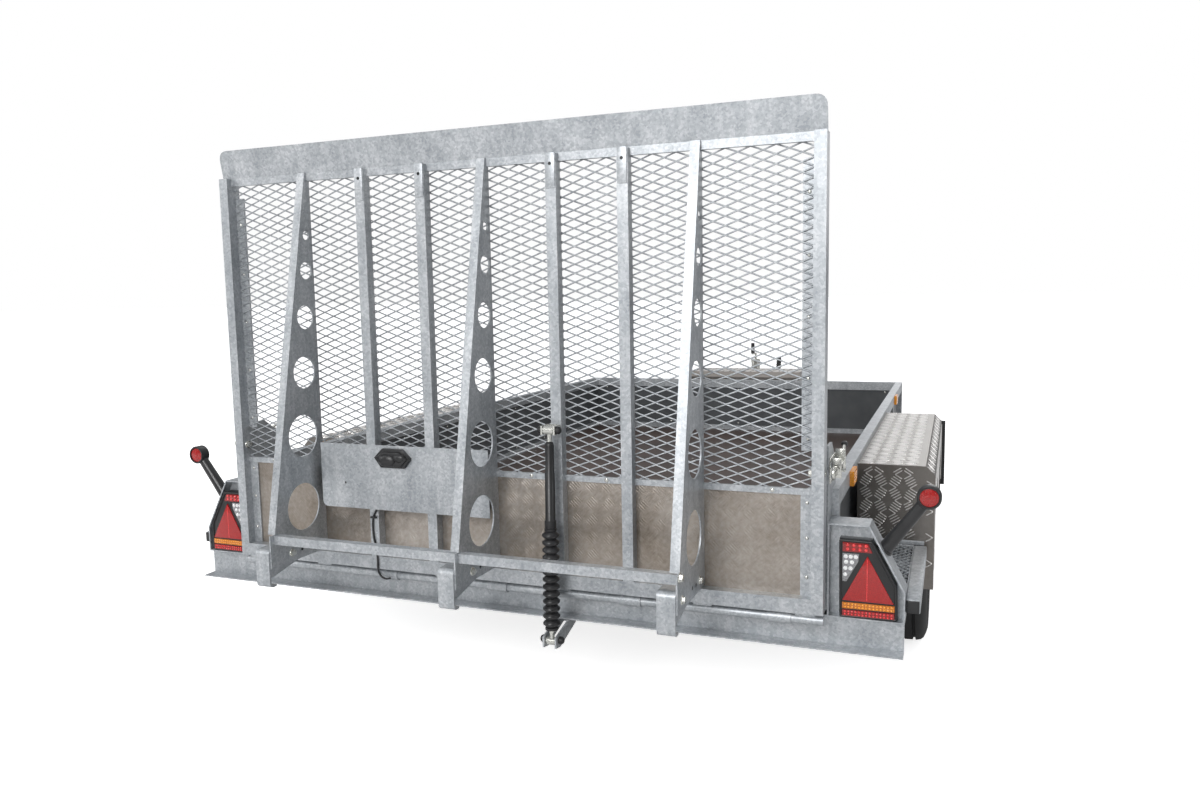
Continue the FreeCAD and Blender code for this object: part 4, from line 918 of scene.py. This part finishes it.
# ---------------------------------------------------------------- drawbar and jockey wheel
def drawbar_details():
    """Gaiter on the overrun shaft, bolts, grips and the jockey clamp's handle."""
    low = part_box("coupling_housing")[0]
    head_low, head_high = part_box("coupling_head")
    level = (head_low[2] + head_high[2] - 0.025) / 2
    start, end, folds = 2.200, head_low[1], 7
    pitch = (end - start - 0.012) / folds
    profile = [(0.0, 0.0255), (0.0, 0.036), (0.006, 0.036)]
    for fold in range(folds):
        along = 0.006 + fold * pitch
        profile += [(along, 0.030), (along + pitch * 0.3, 0.038), (along + pitch * 0.6, 0.038)]
    profile += [(end - start - 0.006, 0.030), (end - start - 0.006, 0.034), (end - start, 0.034),
                (end - start, 0.0255)]
    gaiter = spun(profile, (0, start, level), (0, 1, 0), 40)
    smooth(dress("overrun_gaiter", gaiter, "trailer", "rubber"), 50)
    zinc = bmesh.new()
    for side in SIDES:
        for y in (low[1] + 0.04, low[1] + 0.20):
            add_bolt(zinc, (side * 0.045, y, level - 0.02), (side, 0, 0), 0.010, 0.010)
        add_bolt(zinc, (side * 0.040, head_low[1] + 0.03, level), (side, 0, 0), 0.008, 0.010)
    clamp_low, clamp_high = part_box("jockey_clamp")
    x, y, handle = clamp_low[0] + 0.030, 2.025, 0.31
    for z in (clamp_low[2] + 0.02, 0.45, clamp_high[2] - 0.012):
        add_rod(zinc, (x, y, z - 0.008), (x, y, z + 0.008), 0.0325, segments=40)
    add_rod(zinc, (x, y - 0.02, handle), (x, y - 0.085, handle), 0.006)
    add_rod(zinc, (x - 0.045, y - 0.085, handle), (x + 0.045, y - 0.085, handle), 0.006)
    smooth(dress("drawbar_fittings", zinc, "trailer", "zinc"))
    grips = bmesh.new()
    lever_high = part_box("handbrake_lever")[1]
    tip = Vector((0.018, lever_high[1] - 0.0125, lever_high[2] - 0.004))
    root = Vector((0.018, low[1] + 0.11, 0.43))
    line = (tip - root).normalized()
    add_rod(grips, tip - line * 0.13, tip + line * 0.003, 0.0165, 0.0145, 24)
    for number in range(6):
        ring = tip - line * (0.02 + 0.018 * number)
        add_rod(grips, ring, ring + line * 0.006, 0.0178, segments=24)
    crank_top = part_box("jockey_crank")[1][2]
    add_rod(grips, (x, y - 0.098, crank_top - 0.070), (x, y - 0.098, crank_top + 0.001), 0.0135, 0.012, 24)
    smooth(dress("grips", grips, "trailer", "rubber"))


# ---------------------------------------------------------------- wheels
def tyres():
    """Road tyres with four grooves, rounded shoulders and crowned side walls."""
    for end in ("rear", "front"):
        for hand in ("right", "left"):
            name = f"{end}_{hand}"
            low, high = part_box(f"tyre_{name}")
            middle = Vector([(a + b) / 2 for a, b in zip(low, high)])
            radius = (high[2] - low[2]) / 2
            half = (high[0] - low[0]) / 2
            right = [(0.0, radius), (0.018, radius), (0.020, radius - 0.008), (0.026, radius - 0.008),
                     (0.028, radius), (0.052, radius - 0.001), (0.054, radius - 0.009),
                     (0.060, radius - 0.009), (0.062, radius - 0.001), (0.076, radius - 0.004),
                     (0.086, radius - 0.012), (0.093, radius - 0.028), (half, radius - 0.044),
                     (half - 0.002, radius - 0.056), (0.089, radius - 0.070), (0.076, radius - 0.080),
                     (0.0695, radius - 0.084), (0.0695, 0.1655)]
            left = [(-along, reach) for along, reach in reversed(right[1:])]
            shape = spun(left + right, middle, (1, 0, 0), 96)
            smooth(dress(f"tyre_tread_{name}", shape, f"wheel_{name}", "tyre_rubber",
                         nodes=(f"tyre_{name}",)), 40)


def wheel_nuts():
    """Five nuts, the hub's cap and ten slots on each wheel, the slots as flat dark discs of painted shade.
    """
    disc_face, cap_base, cap_top = 1.063, 1.0885, 1.094
    nut_circle, slot_circle = 0.056, 0.115
    for end in ("rear", "front"):
        for hand, side in (("right", 1), ("left", -1)):
            name = f"{end}_{hand}"
            low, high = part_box(f"rim_{name}")
            y, z = (low[1] + high[1]) / 2, (low[2] + high[2]) / 2
            shape = bmesh.new()
            for number in range(5):
                angle = math.tau * number / 5
                add_bolt(shape, (side * disc_face, y + nut_circle * math.cos(angle),
                                 z + nut_circle * math.sin(angle)), (side, 0, 0), 0.0105, 0.016)
            add_rod(shape, (side * cap_base, y, z), (side * cap_top, y, z), 0.0295, 0.028, 40)
            add_dome(shape, (side * cap_top, y, z), (0.010, 0.026, 0.026), 28)
            # painted shade: flat dark discs in the rubber finish stand for the slots in the wheel's disc
            slots = bmesh.new()
            for number in range(10):
                angle = math.tau * (number + 0.5) / 10
                spot = Vector((side * (disc_face + 0.0002), y + slot_circle * math.cos(angle),
                               z + slot_circle * math.sin(angle)))
                add_rod(slots, spot, spot + Vector((side * 0.0006, 0, 0)), 0.014)
            smooth(dress(f"wheel_nuts_{name}", shape, f"wheel_{name}", "zinc"))
            dress(f"rim_slot_shade_{name}", slots, f"wheel_{name}", "rubber")


# ---------------------------------------------------------------- finishes of the CAD nodes
def finish_nodes():
    """Give each CAD node the finish of its slot; the ramp's sheet has its own."""
    slots = {entry["node"]: entry["material_slot"] for entry in frame["record"]["subparts"]}
    for node, item in frame["nodes"].items():
        item.data.materials.clear()
        item.data.materials.append(FINISHES["ramp_plate" if node == "ramp_sheet" else slots[node]])


# ---------------------------------------------------------------- camera, floor and light
def camera():
    """A standing viewer's eye, behind and to the right."""
    turn, tilt, roll = math.radians(21.395), math.radians(6.375), math.radians(-1.064)
    ahead = Vector((-math.sin(turn) * math.cos(tilt), math.cos(turn) * math.cos(tilt), -math.sin(tilt)))
    right = Vector((math.cos(turn), math.sin(turn), 0))
    up = right.cross(ahead)
    across = right * math.cos(roll) + up * math.sin(roll)
    upright = up * math.cos(roll) - right * math.sin(roll)
    data = bpy.data.cameras.new("camera")
    data.sensor_width = 36
    data.lens = 27.22
    item = bpy.data.objects.new("camera", data)
    matrix = Matrix((across, upright, -ahead)).transposed().to_4x4()
    matrix.translation = (1.198, -4.469, 1.154)
    item.matrix_world = matrix
    bpy.context.scene.collection.objects.link(item)
    bpy.context.scene.camera = item


def white_floor():
    """A wide floor that shows white and takes soft shadows."""
    shape = bmesh.new()
    bmesh.ops.create_grid(shape, x_segments=1, y_segments=1, size=400)
    mesh = bpy.data.meshes.new("floor")
    shape.to_mesh(mesh)
    shape.free()
    floor = bpy.data.objects.new("studio_floor", mesh)
    floor.location.z = -0.001
    bpy.context.scene.collection.objects.link(floor)
    finish = Finish("studio_floor", (0.80, 0.80, 0.80), 0.9)
    path = finish.node("ShaderNodeLightPath", {}, {}, "Is Camera Ray")
    finish.set("Emission Color", (1, 1, 1, 1))
    finish.set("Emission Strength", path * 0.78)
    mesh.materials.append(finish.material)


def lights():
    lamps = (("key", (-0.5, -9.5, 4.4), 3.5, 430), ("side", (8.0, -2.0, 3.2), 3.0, 120),
             ("fill", (-7.0, -5.0, 3.5), 4.0, 150), ("top", (-1.0, 1.0, 7.0), 4.0, 50),
             ("front", (2.0, 8.5, 4.0), 4.0, 110))
    aim = Vector((0, -0.5, 0.6))
    for name, place, size, power in lamps:
        data = bpy.data.lights.new(name, "AREA")
        data.size = size
        data.energy = power
        item = bpy.data.objects.new(name, data)
        item.location = place
        item.rotation_euler = (aim - Vector(place)).to_track_quat("-Z", "Y").to_euler()
        bpy.context.scene.collection.objects.link(item)


def backdrop():
    """White to the camera; to the trailer, a dark ground that brightens with height."""
    world = bpy.data.worlds.new("studio")
    bpy.context.scene.world = world
    world.use_nodes = True
    tree = world.node_tree
    back = tree.nodes["Background"]
    path = tree.nodes.new("ShaderNodeLightPath")
    mix = tree.nodes.new("ShaderNodeMix")
    mix.data_type = "RGBA"
    spot = tree.nodes.new("ShaderNodeTexCoord")
    height = tree.nodes.new("ShaderNodeSeparateXYZ")
    sky = tree.nodes.new("ShaderNodeValToRGB")
    tree.links.new(spot.outputs["Generated"], height.inputs[0])
    tree.links.new(height.outputs["Z"], sky.inputs["Fac"])
    for stop, (level, shade) in zip(sky.color_ramp.elements, ((0.05, 0.13), (0.9, 0.75))):
        stop.position = level
        stop.color = (shade, shade * 1.01, shade * 1.03, 1)
    tree.links.new(sky.outputs["Color"], mix.inputs["A"])
    mix.inputs["B"].default_value = (1, 1, 1, 1)
    tree.links.new(path.outputs["Is Camera Ray"], mix.inputs["Factor"])
    tree.links.new(mix.outputs["Result"], back.inputs["Color"])
    bpy.context.scene.view_settings.view_transform = "Standard"


camera()
white_floor()
lights()
backdrop()
finish_nodes()
expanded_mesh()
ramp_lip()
ramp_feet()
rib_tabs()
ramp_bolts()
ramp_tread()
bellows()
strut()
tail_lamps()
marker_lamps()
plate_lamp()
latches()
side_steps()
mudguard_tread()
toolbox_tread()
bed_fasteners()
drawbar_details()
tyres()
wheel_nuts()
